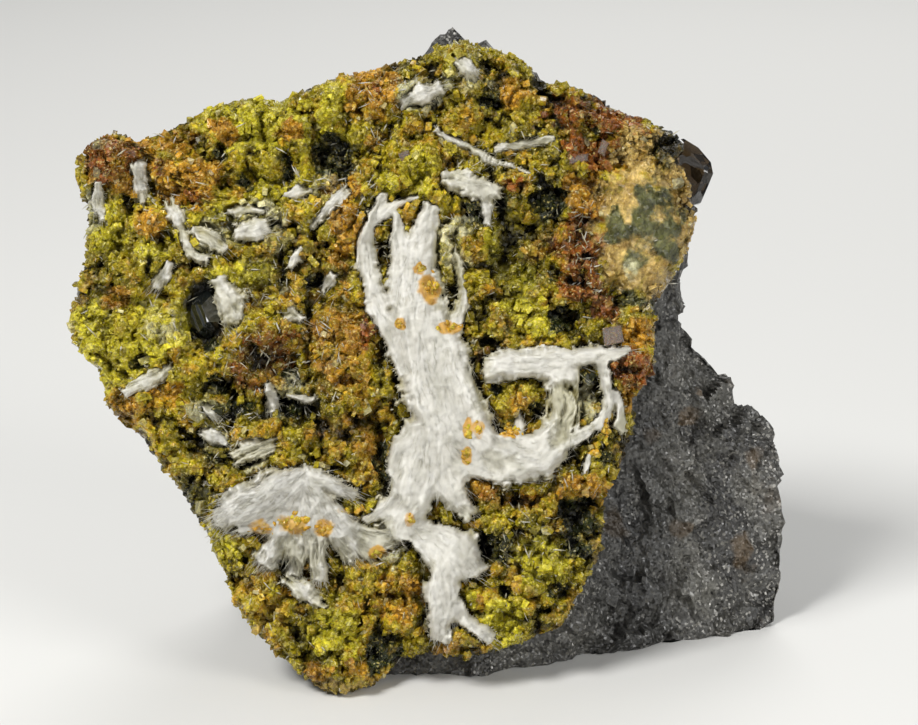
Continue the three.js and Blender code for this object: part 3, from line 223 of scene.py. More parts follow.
# Patches of one colour or finish: (u, v, half width, half height, strength); the dark ones are painted shade.
PATCHES = {
    "lemon": [
        (-27.6, 40.4, 2.4, 3.8, 0.9), (-23.6, 38.8, 2.7, 1.1, 1), (-25.3, 31.4, 7, 3.8, 0.9),
        (-16.6, 36.6, 3.8, 1.6, 0.7), (-14, 49.8, 7.5, 3.2, 0.9), (-12, 44, 6, 2.6, 0.6),
        (-19.5, 41, 6, 3.5, 0.6), (-8, 51.4, 1.6, 2.7, 0.8), (-3.4, 44.4, 1.4, 1.1, 1),
        (-0.6, 45.3, 2.2, 2.2, 0.7), (2, 39.7, 2.2, 2.7, 0.6), (5.8, 39.7, 1.2, 1.9, 0.8),
        (8.1, 36.2, 2.2, 2.2, 0.7), (8.9, 32.7, 3.2, 2.2, 0.8), (-27, 28.4, 4.9, 3.2, 0.7),
        (-14, 34.5, 2.7, 1.6, 0.5), (-17.9, 13.7, 2.2, 2.2, 0.8), (-8.4, 5.9, 3.2, 3.2, 0.8),
        (10.4, 12, 3.5, 3.2, 0.9), (6.3, 6.8, 3.2, 3.2, 0.8), (-4.5, 15.8, 2.7, 2.7, 0.5),
        (2.9, 55, 2.2, 1.9, 0.7), (-14.5, 7.5, 3.4, 3.2, 0.6), (12.6, 24.7, 3, 3, 0.4),
        (17.7, 39.5, 1.1, 1, 0.9),
    ],
    "amber": [
        (-20.3, 44.6, 4.1, 2.4, 0.9), (-26, 46.4, 4.2, 3.2, 0.8), (-21.5, 48.2, 3, 1.6, 0.7),
        (-23.6, 40.7, 1.9, 1.9, 0.8), (-4.5, 52.4, 2.7, 3, 0.9), (-4.7, 48.5, 0.8, 1.4, 0.7),
        (-7.1, 41.4, 2.7, 4.3, 0.8), (-14, 34.5, 2.7, 1.6, 0.5), (7.4, 52.5, 1.3, 1.3, 0.9),
        (13.5, 43.6, 2.6, 2.7, 1), (16.5, 46.6, 3, 1.6, 0.9), (18.2, 31.4, 1.9, 1.6, 0.9),
        (5.7, 35.1, 1.4, 0.8, 0.4), (-22.3, 26.7, 2.2, 1.1, 0.8), (-25.9, 24.9, 2.4, 2.2, 0.6),
        (-5.2, 20.6, 1.9, 3.2, 0.6), (-6.5, 27.3, 1.4, 1.4, 0.6), (-14.5, 8.1, 3.2, 3.8, 0.5),
        (-3, 8.7, 3.5, 3, 0.7), (-9.7, 2.4, 1.6, 1.1, 0.8), (-6, 2.4, 1.9, 1.1, 0.6),
        (8.3, 24.7, 2.4, 3, 0.5), (17.4, 25.6, 1.4, 1.9, 0.8), (13.7, 18.4, 3.8, 1.6, 0.7),
        (4.6, 18, 2.2, 1.1, 0.9), (2.4, 4.2, 1.6, 1, 0.9), (4.6, 8.1, 0.5, 1.1, 0.7),
        (-8, 31, 3.8, 6.5, 0.6), (-17.5, 49.2, 1.3, 1.3, 0.8), (-11.9, 49, 1.3, 1.3, 0.8),
        (9.8, 39.4, 2.2, 1.9, 0.6), (-11, 10.4, 3.2, 2.4, 0.6), (-27, 34.6, 1.3, 1.3, 0.7),
    ],
    "rust": [
        (-27, 46.6, 3.6, 2.8, 0.8), (-22.9, 45.8, 0.8, 1, 0.8), (-20.1, 43.2, 1.1, 1, 0.7),
        (-27, 34.6, 1.3, 1.3, 0.5), (-14.5, 29.1, 3.6, 3.6, 0.65), (-5.3, 32.5, 0.6, 2.4, 0.8),
        (15, 50.3, 5.4, 3, 0.8), (14.6, 47.5, 3.8, 1.7, 1), (18.2, 48.5, 1.9, 1.9, 1),
        (13.2, 38.8, 2.6, 3.8, 0.95), (13.1, 35.8, 2.5, 1.8, 1), (15.4, 33.6, 1.4, 1.3, 1),
        (17.9, 28.5, 2.4, 1.8, 1), (23, 42, 1.3, 5.5, 1), (-7.5, 22.8, 3.6, 3.2, 0.4),
        (-7.4, 22.1, 1, 2.2, 0.45), (7.7, 44.4, 1.7, 0.8, 0.8), (5, 29.7, 1.6, 1.1, 0.6),
        (8.1, 17.2, 4.3, 1.2, 0.5), (-8, 31, 3.8, 6.5, 0.35), (15.5, 23.5, 0.6, 0.8, 0.9),
        (-4.3, 52.7, 0.8, 0.9, 0.8), (-25.7, 32.1, 2.2, 1.9, 0.35),
    ],
    # Painted shade: pits, crevices and a few wider dim regions of the crust are painted dark green-black; the
    # pits are also sunk in crust_surface.
    "dark": [
        (-15.8, 44.6, 1.1, 1.4, 1), (-17.9, 46.8, 1.1, 0.8, 0.7), (-11.9, 45.7, 1.1, 2.2, 0.9),
        (-8.2, 46.8, 2.4, 2.4, 0.9), (-9.9, 36.2, 1.4, 1.1, 0.9), (-2.6, 43.3, 0.5, 0.4, 0.8),
        (5.2, 54.6, 0.3, 0.8, 0.9), (5.5, 51.8, 1.1, 1.1, 0.8), (10.3, 52, 0.6, 0.9, 0.9),
        (14.6, 49, 0.6, 0.8, 0.7), (21, 47.9, 2.2, 2.2, 0.6), (10.6, 43, 2.2, 2.1, 1),
        (7.4, 43, 1.6, 1.2, 0.7), (3.8, 41.8, 1.2, 1.8, 0.8), (11, 36.7, 0.9, 1.3, 0.8),
        (12, 32.9, 1.7, 1.5, 1), (-24.9, 29.1, 1.1, 0.8, 0.6), (-18.1, 27, 1.5, 1.1, 1),
        (-16.4, 24.9, 1.5, 1.3, 1), (-12, 24.9, 2.6, 1.7, 1), (-11.8, 27.8, 1.2, 1, 0.8),
        (-20.5, 17.6, 2.7, 2.7, 0.45), (-18.4, 21.9, 2.7, 2.7, 0.5), (-3.9, 20.2, 1.1, 2.9, 0.8),
        (-4.2, 4.2, 2.5, 2.4, 1), (6.1, 26.8, 0.8, 0.9, 0.8), (9.6, 24.8, 0.9, 0.9, 0.9),
        (7.5, 23.6, 0.9, 0.8, 0.8), (12, 20.9, 1.2, 1, 0.8), (15.7, 20.9, 1.5, 1, 0.7),
        (13.3, 14.5, 2.3, 3.4, 0.9), (12.3, 16.3, 1.5, 1.3, 1), (6, 13.2, 1.7, 1.8, 0.8),
        (6.8, 9.2, 0.6, 0.6, 0.8), (11.2, 9.2, 1.2, 0.9, 0.8), (10.3, 6.7, 2.8, 2.3, 0.5),
        (-12.2, 11.5, 0.9, 1.2, 0.8), (-27.7, 37.1, 2.4, 3.2, 0.3), (-19.1, 35.3, 0.8, 1.3, 0.9),
        (-18.4, 30.6, 1.2, 0.8, 0.9), (-25.9, 43, 0.9, 1.2, 0.6), (-19.3, 32.8, 1.7, 2.5, 0.8),
        (13.9, 27, 1, 1.1, 0.7), (-13.7, 36.8, 2.5, 2.1, 0.4), (8.5, 38.5, 5, 6, 0.45),
        (13.8, 36, 2.6, 3.5, 0.35), (10, 13.5, 5, 5, 0.35), (-10, 37.5, 3.5, 2.5, 0.4),
        (-12, 11, 2.5, 2.5, 0.4), (-9.5, 6.5, 5, 4, 0.35), (-15.5, 27, 5, 4, 0.35), (-9, 30, 3, 6, 0.35),
    ],
    "tan": [
        (19, 41.2, 5, 7.8, 1), (-7.4, 0.7, 4.4, 1.1, 0.6), (14.5, 13.5, 0.8, 2.2, 0.5),
        (19.3, 35.8, 1.1, 1.6, 0.8),
    ],
    "moss": [
        (19.2, 41.2, 3, 4.4, 0.75), (19.2, 43.3, 2.2, 1.8, 1), (16.3, 41, 1, 1.6, 1),
        (20.6, 39.6, 1.6, 2.6, 1), (17.4, 34.8, 1.1, 1, 0.9), (19.1, 34, 0.9, 0.7, 0.8),
        (-20.5, 17.6, 2.7, 2.7, 0.5), (-18.4, 21.9, 2.7, 2.7, 0.4),
    ],
    "frost": [
        (-29, 42, 0.8, 2.4, 0.7), (-27.9, 47.9, 1.1, 0.5, 0.5), (-14.7, 41, 3.5, 2.7, 0.5),
        (-0.6, 52.1, 2.2, 1.7, 0.9), (-17.2, 34.2, 1.6, 2, 0.4), (-18.5, 39.7, 1.4, 1.8, 0.8),
        (-22.9, 32.3, 2.2, 2.4, 0.3), (-11.6, 33.2, 0.9, 1.3, 0.6), (2.9, 54.9, 2.3, 2, 0.4),
        (2.1, 39.6, 2.3, 2.8, 0.5), (17.7, 37.1, 0.7, 1, 0.45), (-19.1, 25.2, 1.7, 1, 0.7),
        (-18.5, 22.6, 1.4, 1, 0.7), (-14.6, 21.5, 1.5, 1.7, 0.6), (-12.4, 26.8, 2, 1.5, 0.5),
        (-3.3, 14.1, 1.5, 3.8, 0.8), (12.7, 24.7, 3.1, 3.1, 0.7), (-8.6, 42.6, 1.9, 2.8, 0.4),
    ],
    "ore_light": [
        (20.7, 28.5, 3.2, 4.2, 1), (22.4, 18.8, 2.8, 4.2, 1), (23.4, 9.6, 3, 3.4, 0.9),
        (29, 17, 1.6, 3.4, 0.6), (26.4, 25, 2, 2.4, 0.5),
    ],
    "ore_dark": [
        (18, 12, 1.1, 5.5, 1), (26.6, 13.4, 2.4, 6, 0.9), (24.6, 22.6, 1.2, 2.6, 0.6),
        (17, 22, 1.6, 6, 0.7), (30.6, 7, 1.6, 5, 0.6),
    ],
    "ore_brown": [
        (24, 24.1, 1.2, 1, 1), (25.2, 26.3, 1.2, 0.8, 1), (22.3, 14.3, 1.3, 0.9, 1),
        (28.1, 12.1, 1, 2, 0.9), (17.1, 14.5, 1, 1.6, 1), (20.4, 22.4, 0.9, 1.3, 0.8),
        (29.6, 20.4, 0.9, 1.4, 0.6),
    ],
    "clear": [
        (2.2, 37.5, 1.8, 4, 0.9), (4.6, 29, 1.2, 4, 0.4), (-9.6, 12.6, 3.6, 2.2, 0.65),
        (-4.5, 13.6, 1.8, 2.4, 0.7), (-0.4, 11.3, 1.2, 1.4, 0.8), (12.1, 24.8, 3, 2.8, 0.95),
        (17.1, 23.8, 1.1, 1.8, 0.9), (-18.6, 39.7, 1.5, 1.5, 0.7), (-21, 38.4, 1, 1.4, 0.6),
        (-24.6, 43, 0.8, 1, 0.6), (-17, 34.2, 1.6, 2, 0.4), (8.6, 48.1, 2.6, 0.9, 0.8),
        (4.4, 47.3, 3.4, 1, 0.35), (6.2, 20.6, 1.6, 1.2, 0.3), (5.2, 44, 1.6, 1.2, 0.4),
        (-23.5, 31.2, 3.5, 2.5, 0.4), (3.6, 15.6, 1.2, 1.2, 0.5),
    ],
    "ochre": [
        (-2.2, 32.3, 0.45, 0.52, 1), (1.9, 32, 1.2, 0.59, 1), (0.3, 35.5, 1, 1.3, 1),
        (-0.6, 37.1, 0.65, 0.52, 1), (3.5, 23.2, 0.45, 1, 1), (4.5, 23.4, 0.59, 0.78, 1),
        (3.4, 21, 0.45, 0.91, 1), (7.2, 22.9, 1.2, 0.65, 1), (-11.7, 15.3, 2.5, 1, 1),
        (-13.9, 14.8, 1.2, 0.65, 0.9), (-8.8, 14.7, 1.4, 1, 0.9), (-4.2, 12.7, 0.78, 0.65, 1),
        (13.4, 23.9, 0.45, 0.45, 1), (15.5, 23, 0.39, 1.4, 0.9), (14.6, 21.2, 0.65, 0.52, 0.9),
        (-6, 16.4, 1.6, 0.65, 0.8), (-1.4, 15.6, 0.52, 0.78, 0.7),
    ],
    "hole": [
        (-0.1, 11, 0.3, 0.6, 1), (2.2, 15.3, 0.7, 0.25, 0.9), (-1.8, 13.2, 0.6, 0.7, 0.8),
        (14, 26.9, 0.35, 0.6, 1), (3.9, 8.8, 1, 1.4, 0.8),
    ],
    "needles": [
        (-13.5, 31, 6, 5, 1), (-17.5, 23.5, 4, 3, 0.8), (-8, 43.5, 5, 3, 0.7), (14, 38, 2.2, 5, 0.5),
        (-11.5, 26, 4, 2.5, 0.9), (7, 46.5, 5, 2.5, 0.6), (-3, 50.5, 4, 2.5, 0.6), (12.5, 19, 3, 2, 0.5),
        (-21, 42, 4, 3.5, 0.5), (9, 14, 4, 4, 0.4),
    ],
}

rng = np.random.default_rng(7)


# ---- Frames, noise and fields ----------------------------------------------------------------

def on_face(points):
    """Face coordinates to metres: y = foot + v sin(lean) - w cos(lean), z = v cos(lean) + w sin(lean).

    Points that would lie under the floor are laid on it, drawn in under the specimen by twice their depth.
    """
    u, v, w = points[..., 0], points[..., 1], points[..., 2]
    sin, cos = math.sin(LEAN), math.cos(LEAN)
    placed = np.stack([u, FACE_FOOT_Y + v * sin - w * cos, v * cos + w * sin], axis=-1)
    under = np.maximum(0.0, -placed[..., 2:])
    inward = FOOT_MIDDLE - placed[..., :2]
    placed[..., :2] += 2 * under * inward / (np.linalg.norm(inward, axis=-1, keepdims=True) + 1e-6)
    placed[..., 2] = np.maximum(placed[..., 2], 0.0)
    return placed * MM


def unit(vectors, least=0.0):
    """Vectors brought to length 1: each is divided by its length plus a least value."""
    return vectors / (np.linalg.norm(vectors, axis=-1, keepdims=True) + least)


def scatter(i, j, k):
    """A repeatable value from 0 to 1 for lattice points: the fraction of a large multiple of a sine."""
    s = np.sin(i * 127.1 + j * 311.7 + k * 74.7) * 43758.5453
    return s - np.floor(s)


def swells(x, y, z):
    """Smooth noise from 0 to 1: lattice values blended with t²(3-2t) along each axis."""
    i, j, k = np.floor(x), np.floor(y), np.floor(z)
    a, b, c = (t * t * (3 - 2 * t) for t in (x - i, y - j, z - k))

    def row(dj, dk):
        """The blend along x of two neighbouring lattice values."""
        return scatter(i, j + dj, k + dk) * (1 - a) + scatter(i + 1, j + dj, k + dk) * a

    near = row(0, 0) * (1 - b) + row(1, 0) * b
    far = row(0, 1) * (1 - b) + row(1, 1) * b
    return near * (1 - c) + far * c


def ragged(x, y, z):
    """Four octaves of swells, each half as high and half as wide, about -0.5 to 0.5."""
    total = sum(swells(x * 2 ** n, y * 2 ** n, z * 2 ** n + 9 * n) / 2 ** n for n in range(4))
    return total / 1.875 - 0.5


def lumps(u, v, size):
    """Packed rounded lumps: the highest of h(1 - 1.6 d²) over the scattered middles nearby, and its mark.

    The mark is a value from 0 to 1 that belongs to the lump on top.
    """
    x, y = u / size, v / size
    i, j = np.floor(x), np.floor(y)
    top, mark = np.zeros_like(x), np.zeros_like(x)
    for di in (-1, 0, 1):
        for dj in (-1, 0, 1):
            ci, cj = i + di, j + dj
            du = ci + 0.15 + 0.7 * scatter(ci, cj, 1) - x
            dv = cj + 0.15 + 0.7 * scatter(ci, cj, 2) - y
            rise = (0.45 + 0.55 * scatter(ci, cj, 3)) * (1 - 1.6 * (du * du + dv * dv))
            mark = np.where(rise > top, scatter(ci, cj, 4), mark)
            top = np.maximum(top, rise)
    return top, mark


def knobs(u, v):
    """Height and mark of the crust's knobs: lumps of two sizes, looked up at places pushed by noise."""
    push = KNOB_PUSH * ragged(u / 1.9, v / 1.9, 0)
    lift = KNOB_PUSH * ragged(u / 1.9, v / 1.9, 5)
    small, small_mark = lumps(u + push + 4, v + lift, KNOB_SIZES[0])
    large, large_mark = lumps(u + push + 9, v + lift + 3, KNOB_SIZES[1])
    return np.maximum(0.6 * small, large), np.where(0.6 * small > large, small_mark, large_mark)


def web(u, v):
    """Milky films, 0 to 1, in the frosted patches: bands where a wandering noise is near its middle."""
    band = np.abs(ragged(u / 2.6, v / 2.6, 21)) / 0.06
    return np.clip(1.6 - band, 0, 1) * np.clip(2.2 * patch("frost", u, v), 0, 1)


def facets(x, y, z, size):
    """Broken facets: distance from the nearest scattered middle along that cell's own tilt, plus its step."""
    x, y, z = x / size, y / size, z / size
    i, j, k = np.floor(x), np.floor(y), np.floor(z)
    best = np.full(x.shape, 1e9)
    height = np.zeros(x.shape)
    for step in np.ndindex(3, 3, 3):
        ci, cj, ck = i + step[0] - 1, j + step[1] - 1, k + step[2] - 1
        dx = x - ci - scatter(ci, cj, ck)
        dy = y - cj - scatter(ci, cj, ck + 31)
        dz = z - ck - scatter(ci, cj, ck + 57)
        gap = dx * dx + dy * dy + dz * dz
        tilt = [scatter(ci + n, cj, ck + 83) - 0.5 for n in (11, 23, 37)]
        here = dx * tilt[0] + dy * tilt[1] + dz * tilt[2] + 0.5 * scatter(ci + 5, cj, ck)
        nearer = gap < best
        best = np.where(nearer, gap, best)
        height = np.where(nearer, here, height)
    return height * size


outline = np.array(CRUST_OUTLINE) - CRUST_CENTRE
outline_angle = np.arctan2(outline[:, 1], outline[:, 0])
outline_reach = np.hypot(outline[:, 0], outline[:, 1])


def reach_at(angle):
    """How far the crust reaches from its centre, straight between the outline's corners in angle."""
    return np.interp(angle, outline_angle, outline_reach, period=2 * math.pi)


def apart(u, v, mu, mv, ru, rv):
    """Distance from an ellipse's middle as a share of its own reach there: 1 on its edge, 0 in its middle."""
    return np.hypot((u - mu) / ru, (v - mv) / rv)


def within(u, v, mu, mv, ru, rv, power):
    """Share of a round form left at a point: 1 less a power of its distance from the middle."""
    return np.maximum(0.0, 1 - apart(u, v, mu, mv, ru, rv) ** power)


def from_centre(angle, reach):
    """u and v of places at an angle and a distance from the crust's centre."""
    return CRUST_CENTRE[0] + reach * np.cos(angle), CRUST_CENTRE[1] + reach * np.sin(angle)


def crust_body(u, v):
    """The crust without its lumps: a quarter-round rim, knobs, boss and swells less the pits.

    Knobs and pits are looked up at places pushed about by noise, so that their edges wander.
    """
    x, y = u - CRUST_CENTRE[0], v - CRUST_CENTRE[1]
    inset = np.maximum(0.0, reach_at(np.arctan2(y, x)) - np.hypot(x, y))
    rim = np.sqrt(RIM_RADIUS ** 2 - np.maximum(0.0, RIM_RADIUS - inset) ** 2) - RIM_RADIUS
    raised = BOSS[4] * within(u, v, *BOSS[:4], 2.5)
    wu = u + 3.0 * ragged(u / 2.6, v / 2.6, 40)
    wv = v + 3.0 * ragged(u / 2.6, v / 2.6, 50)
    for ku, kv, radius, height in KNOBS:
        raised = np.maximum(raised, height * within(wu, wv, ku, kv, radius, radius, 2))
    pit = np.zeros_like(u)
    for pu, pv, ru, rv, depth in PITS:
        pit = np.maximum(pit, depth * within(wu, wv, pu, pv, ru * PIT_SPREAD, rv * PIT_SPREAD, 2))
    swell = SWELL_HEIGHT * (swells(u / SWELL_SIZE, v / SWELL_SIZE, 0) - 0.5)
    return rim + raised - 0.75 * pit + swell


def patch(name, u, v):
    """Strength of one kind of patch: its strongest ellipse, whose edge is frayed by noise."""
    fray = ragged(u / 2.2, v / 2.2, len(name)) + 0.9 * ragged(u / 0.9, v / 0.9, len(name))
    strength = np.zeros_like(u)
    for mu, mv, ru, rv, most in PATCHES[name]:
        edge = (1.05 - apart(u, v, mu, mv, ru, rv) + 1.1 * fray) / 0.45
        strength = np.maximum(strength, most * np.clip(edge, 0, 1))
    return strength


def along(strand, t):
    """u, v, half width and their slopes at t, 0 to 1: a Catmull-Rom curve through the strand's points."""
    points = np.array(strand, float)
    last = len(points) - 1
    i = np.clip(np.floor(t * last), 0, last - 1).astype(int)
    f = np.clip(t * last - i, 0, 1)[:, None]
    p0, p1 = points[np.maximum(i - 1, 0)], points[i]
    p2, p3 = points[i + 1], points[np.minimum(i + 2, last)]
    m1, m2 = (p2 - p0) / 2, (p3 - p1) / 2
    place = ((2 * f ** 3 - 3 * f ** 2 + 1) * p1 + (f ** 3 - 2 * f ** 2 + f) * m1
             + (3 * f ** 2 - 2 * f ** 3) * p2 + (f ** 3 - f ** 2) * m2)
    slope = ((6 * f ** 2 - 6 * f) * (p1 - p2) + (3 * f ** 2 - 4 * f + 1) * m1
             + (3 * f ** 2 - 2 * f) * m2) * last
    over = (t - np.clip(t, 0, 1))[:, None]
    return place + over * slope * [1, 1, 0], slope


def spray_cover(u, v):
    """1 under the sprays and 0 beside them, falling over a third of a strand's half width."""
    cover = np.zeros_like(u)
    for strands in STRANDS.values():
        for strand in strands:
            places, _ = along(strand, np.linspace(0, 1, 4 * len(strand)))
            for pu, pv, half in places:
                q = np.hypot(u - pu, v - pv) / max(half, 0.3)
                cover = np.maximum(cover, np.clip((1.15 - q) / 0.35, 0, 1))
    return cover


def crust_surface(u, v):
    """The crust's own relief: body, coarse lumps, knobs parted by creases, crumbs, films and holes.

    Under the sprays and on the boss it is smoother, and in a socket it is cut down to the floor's w.
    """
    smooth = within(u, v, *BOSS[:4], 5)
    cover = spray_cover(u, v)
    bend = 3.0 * ragged(u / 3.4, v / 3.4, 60)
    coarse = LUMP_HEIGHT * (1 - 0.85 * smooth) * (lumps(u + bend, v - bend, LUMP_SIZE)[0] - 0.15)
    knob = knobs(u, v)[0]
    crease = np.clip((0.55 - knob) / 0.35, 0, 1)
    crumbs = 0.22 * lumps(u + 7, v + 2, 0.62)[0] + 1.0 * ragged(u / 1.1, v / 1.1, 12)
    crumbs += 0.7 * facets(u, v, 0, 0.8) + 0.45 * facets(u + 3, v, 0, 0.4)
    holes = np.clip((swells(u / 0.62, v / 0.62, 30) - 0.8) / 0.12, 0, 1)
    fine = 1.3 * knob - 0.75 * crease + crumbs - 0.6 * holes + 0.25 * web(u, v)
    hollow = 0.7 * patch("dark", u, v) * (1 + ragged(u / 0.9, v / 0.9, 0))
    streaks = 0.3 * smooth * ragged((u + v) / 3, (u - v) / 0.8, 0)
    w = (crust_body(u, v) + coarse * (1 - 0.5 * cover)
         + (fine - 0.55) * (1 - 0.93 * smooth) * (1 - 0.8 * cover))
    w = w - 0.4 - hollow * (1 - cover) - 0.4 * cover + streaks
    for mu, mv, ru, rv, floor_w in SOCKETS:
        q = apart(u, v, mu, mv, ru, rv) + 0.25 * ragged(u / 0.8, v / 0.8, 0)
        w = np.minimum(w, floor_w + 3.5 * np.maximum(0.0, q - 0.9))
    return w


# ---- Meshes ----------------------------------------------------------------------------------

def make_piece(name, points, triangles, material, smooth=True, fields=None):
    """A mesh object from points in metres and triangles, with a float attribute for each named field."""
    mesh = bpy.data.meshes.new(name)
    mesh.vertices.add(len(points))
    mesh.vertices.foreach_set("co", points.astype(np.float32).ravel())
    mesh.loops.add(3 * len(triangles))
    mesh.loops.foreach_set("vertex_index", triangles.astype(np.int32).ravel())
    mesh.polygons.add(len(triangles))
    mesh.polygons.foreach_set("loop_start", np.arange(0, 3 * len(triangles), 3, dtype=np.int32))
    mesh.polygons.foreach_set("use_smooth", np.full(len(triangles), smooth))
    for key, values in (fields or {}).items():
        layer = mesh.attributes.new(key, "FLOAT", "POINT")
        layer.data.foreach_set("value", values.astype(np.float32).ravel())
    mesh.update(calc_edges=True)
    mesh.materials.append(material)
    piece = bpy.data.objects.new(name, mesh)
    bpy.context.scene.collection.objects.link(piece)
    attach(piece, "root")
    print(name, len(triangles))
    return piece


def grid_triangles(rows, columns, closed=False):
    """Two triangles for each square of a grid of points; closed joins the last column to the first."""
    i, j = np.meshgrid(np.arange(rows - 1), np.arange(columns if closed else columns - 1), indexing="ij")
    k = (j + 1) % columns
    a, b, c, d = i * columns + j, i * columns + k, (i + 1) * columns + k, (i + 1) * columns + j
    return np.concatenate([np.stack([a, b, c], -1).reshape(-1, 3), np.stack([a, c, d], -1).reshape(-1, 3)])


def random_turns(count):
    """Rotation matrices from unit quaternions with normal parts."""
    q = rng.normal(size=(count, 4))
    w, x, y, z = unit(q).T
    return np.stack([
        1 - 2 * (y * y + z * z), 2 * (x * y - w * z), 2 * (x * z + w * y),
        2 * (x * y + w * z), 1 - 2 * (x * x + z * z), 2 * (y * z - w * x),
        2 * (x * z - w * y), 2 * (y * z + w * x), 1 - 2 * (x * x + y * y),
    ], -1).reshape(-1, 3, 3)


def copies(shape, triangles, places, matrices):
    """Copies of one shape in one mesh: each copy's points are its matrix times the shape's, moved."""
    points = np.einsum("nij,kj->nki", matrices, shape) + places[:, None, :]
    each = np.arange(len(places))[:, None, None] * len(shape)
    return points.reshape(-1, 3), (triangles[None] + each).reshape(-1, 3)


GOLD = (1 + math.sqrt(5)) / 2
# The grains' shapes about their middles: a rounded grain of 20 sides, a slab and one of 8 sharp sides.
ROUND = np.array([
    (-1, GOLD, 0), (1, GOLD, 0), (-1, -GOLD, 0), (1, -GOLD, 0), (0, -1, GOLD), (0, 1, GOLD),
    (0, -1, -GOLD), (0, 1, -GOLD), (GOLD, 0, -1), (GOLD, 0, 1), (-GOLD, 0, -1), (-GOLD, 0, 1)]) / 1.9
ROUND_SIDES = np.array([
    (0, 11, 5), (0, 5, 1), (0, 1, 7), (0, 7, 10), (0, 10, 11), (1, 5, 9), (5, 11, 4), (11, 10, 2),
    (10, 7, 6), (7, 1, 8), (3, 9, 4), (3, 4, 2), (3, 2, 6), (3, 6, 8), (3, 8, 9), (4, 9, 5),
    (2, 4, 11), (6, 2, 10), (8, 6, 7), (9, 8, 1)])
SQUARE = ((-1, -1), (1, -1), (1, 1), (-1, 1))
BLOCK = np.array([(x, y, z) for z in (-1, 1) for x, y in SQUARE]) * (0.8, 0.7, 0.45)
BLOCK_SIDES = np.array([
    (0, 2, 1), (0, 3, 2), (4, 5, 6), (4, 6, 7), (0, 1, 5), (0, 5, 4),
    (1, 2, 6), (1, 6, 5), (2, 3, 7), (2, 7, 6), (3, 0, 4), (3, 4, 7)])
SHARP = np.array([(1, 0, 0), (-1, 0, 0), (0, 1, 0), (0, -1, 0), (0, 0, 1), (0, 0, -1)], float)
SHARP_SIDES = np.array([
    (0, 2, 4), (2, 1, 4), (1, 3, 4), (3, 0, 4), (2, 0, 5), (1, 2, 5), (3, 1, 5), (0, 3, 5)])


def grain_mesh(places, sizes, shape, triangles):
    """Copies of a small shape turned at random, each with its own proportions and dented corners."""
    spread = sizes[:, None] * rng.uniform(0.65, 1.35, (len(places), 3))
    points, triangles = copies(shape, triangles, places, random_turns(len(places)) * spread[:, None, :])
    owner = np.repeat(np.arange(len(places)), len(shape))
    dents = rng.uniform(0.75, 1.25, (len(points), 1))
    return places[owner] + (points - places[owner]) * dents, triangles, owner


def needle_mesh(roots, tips, radii):
    """Fibres: a triangle at the root, one half way pushed a little aside, and a point."""
    way = tips - roots
    length = np.linalg.norm(way, axis=1, keepdims=True)
    way = way / length
    side = unit(np.cross(way, rng.normal(size=way.shape)))
    other = np.cross(way, side)
    bend = side * length * rng.normal(0, 0.04, (len(way), 1))
    rings = []
    for middle, share in ((roots, 0.8), (roots + 0.55 * (tips - roots) + bend, 1.0)):
        for k in range(3):
            angle = k * 2 * math.pi / 3
            rings.append(middle + share * radii[:, None] * (math.cos(angle) * side + math.sin(angle) * other))
    points = np.stack(rings + [tips], axis=1)
    sides = [(0, 2, 1)]
    for k in range(3):
        n = (k + 1) % 3
        sides += [(k, n, 3 + n), (k, 3 + n, 3 + k), (3 + k, 3 + n, 6)]
    each = np.arange(len(way))[:, None, None] * FIBRE_POINTS
    return points.reshape(-1, 3), (np.array(sides)[None] + each).reshape(-1, 3)


# ---- Materials -------------------------------------------------------------------------------

COLOURS = ("lemon", "amber", "rust", "tan", "moss", "frost", "dark")
COLOUR_MIX = {"out": 2, "data_type": "RGBA"}    # a Mix node set to colours, and its colour output

# Inputs given by number: MapRange has 0 value, 1 and 2 its low and high, 3 and 4 what they become;
# Math has 0, 1 and 2 in order; Mix has 0 factor, 6 and 7 the colours at factor 0 and 1.


def linear(code, alpha=1.0):
    """An sRGB hex colour as linear values."""
    parts = [int(code[k:k + 2], 16) / 255 for k in (1, 3, 5)]
    return [p / 12.92 if p <= 0.04045 else ((p + 0.055) / 1.055) ** 2.4 for p in parts] + [alpha]


def feed(tree, node, inputs):
    """Gives a node's inputs what they take: a socket is linked and a value is set."""
    for key, value in inputs.items():
        if isinstance(value, bpy.types.NodeSocket):
            tree.links.new(value, node.inputs[key])
        else:
            node.inputs[key].default_value = value


def add(tree, kind, inputs=None, out=0, **settings):
    """Adds a node with its settings and inputs. Gives one of its outputs, or all where out is None."""
    made = tree.nodes.new("ShaderNode" + kind)
    for key, value in settings.items():
        setattr(made, key, value)
    feed(tree, made, inputs or {})
    return made.outputs if out is None else made.outputs[out]


def new_material(name, **values):
    """A material, its node tree and its Principled shader, fed with the values."""
    material = bpy.data.materials.new(name)
    material.use_nodes = True
    tree = material.node_tree
    shader = tree.nodes["Principled BSDF"]
    feed(tree, shader, {key.replace("_", " "): value for key, value in values.items()})
    return material, tree, shader


def tilted_cells(tree, place, size, depth):
    """Three chances and a height, in metres, for facets of a size in mm, each tilted its own way.

    The height is the offset from the facet's middle times its tilt, times the depth.
    """
    cells = add(tree, "TexVoronoi", {"Vector": place, "Scale": 1 / (size * MM)}, None)
    away = add(tree, "VectorMath", {0: place, 1: cells["Position"]}, operation="SUBTRACT")
    tilt = add(tree, "VectorMath", {0: cells["Color"], 1: (0.5, 0.5, 0.5)}, operation="SUBTRACT")
    height = add(tree, "VectorMath", {0: away, 1: tilt}, "Value", operation="DOT_PRODUCT")
    chances = add(tree, "SeparateColor", {0: cells["Color"]}, None)
    return chances, add(tree, "Math", {0: height, 1: depth}, operation="MULTIPLY")


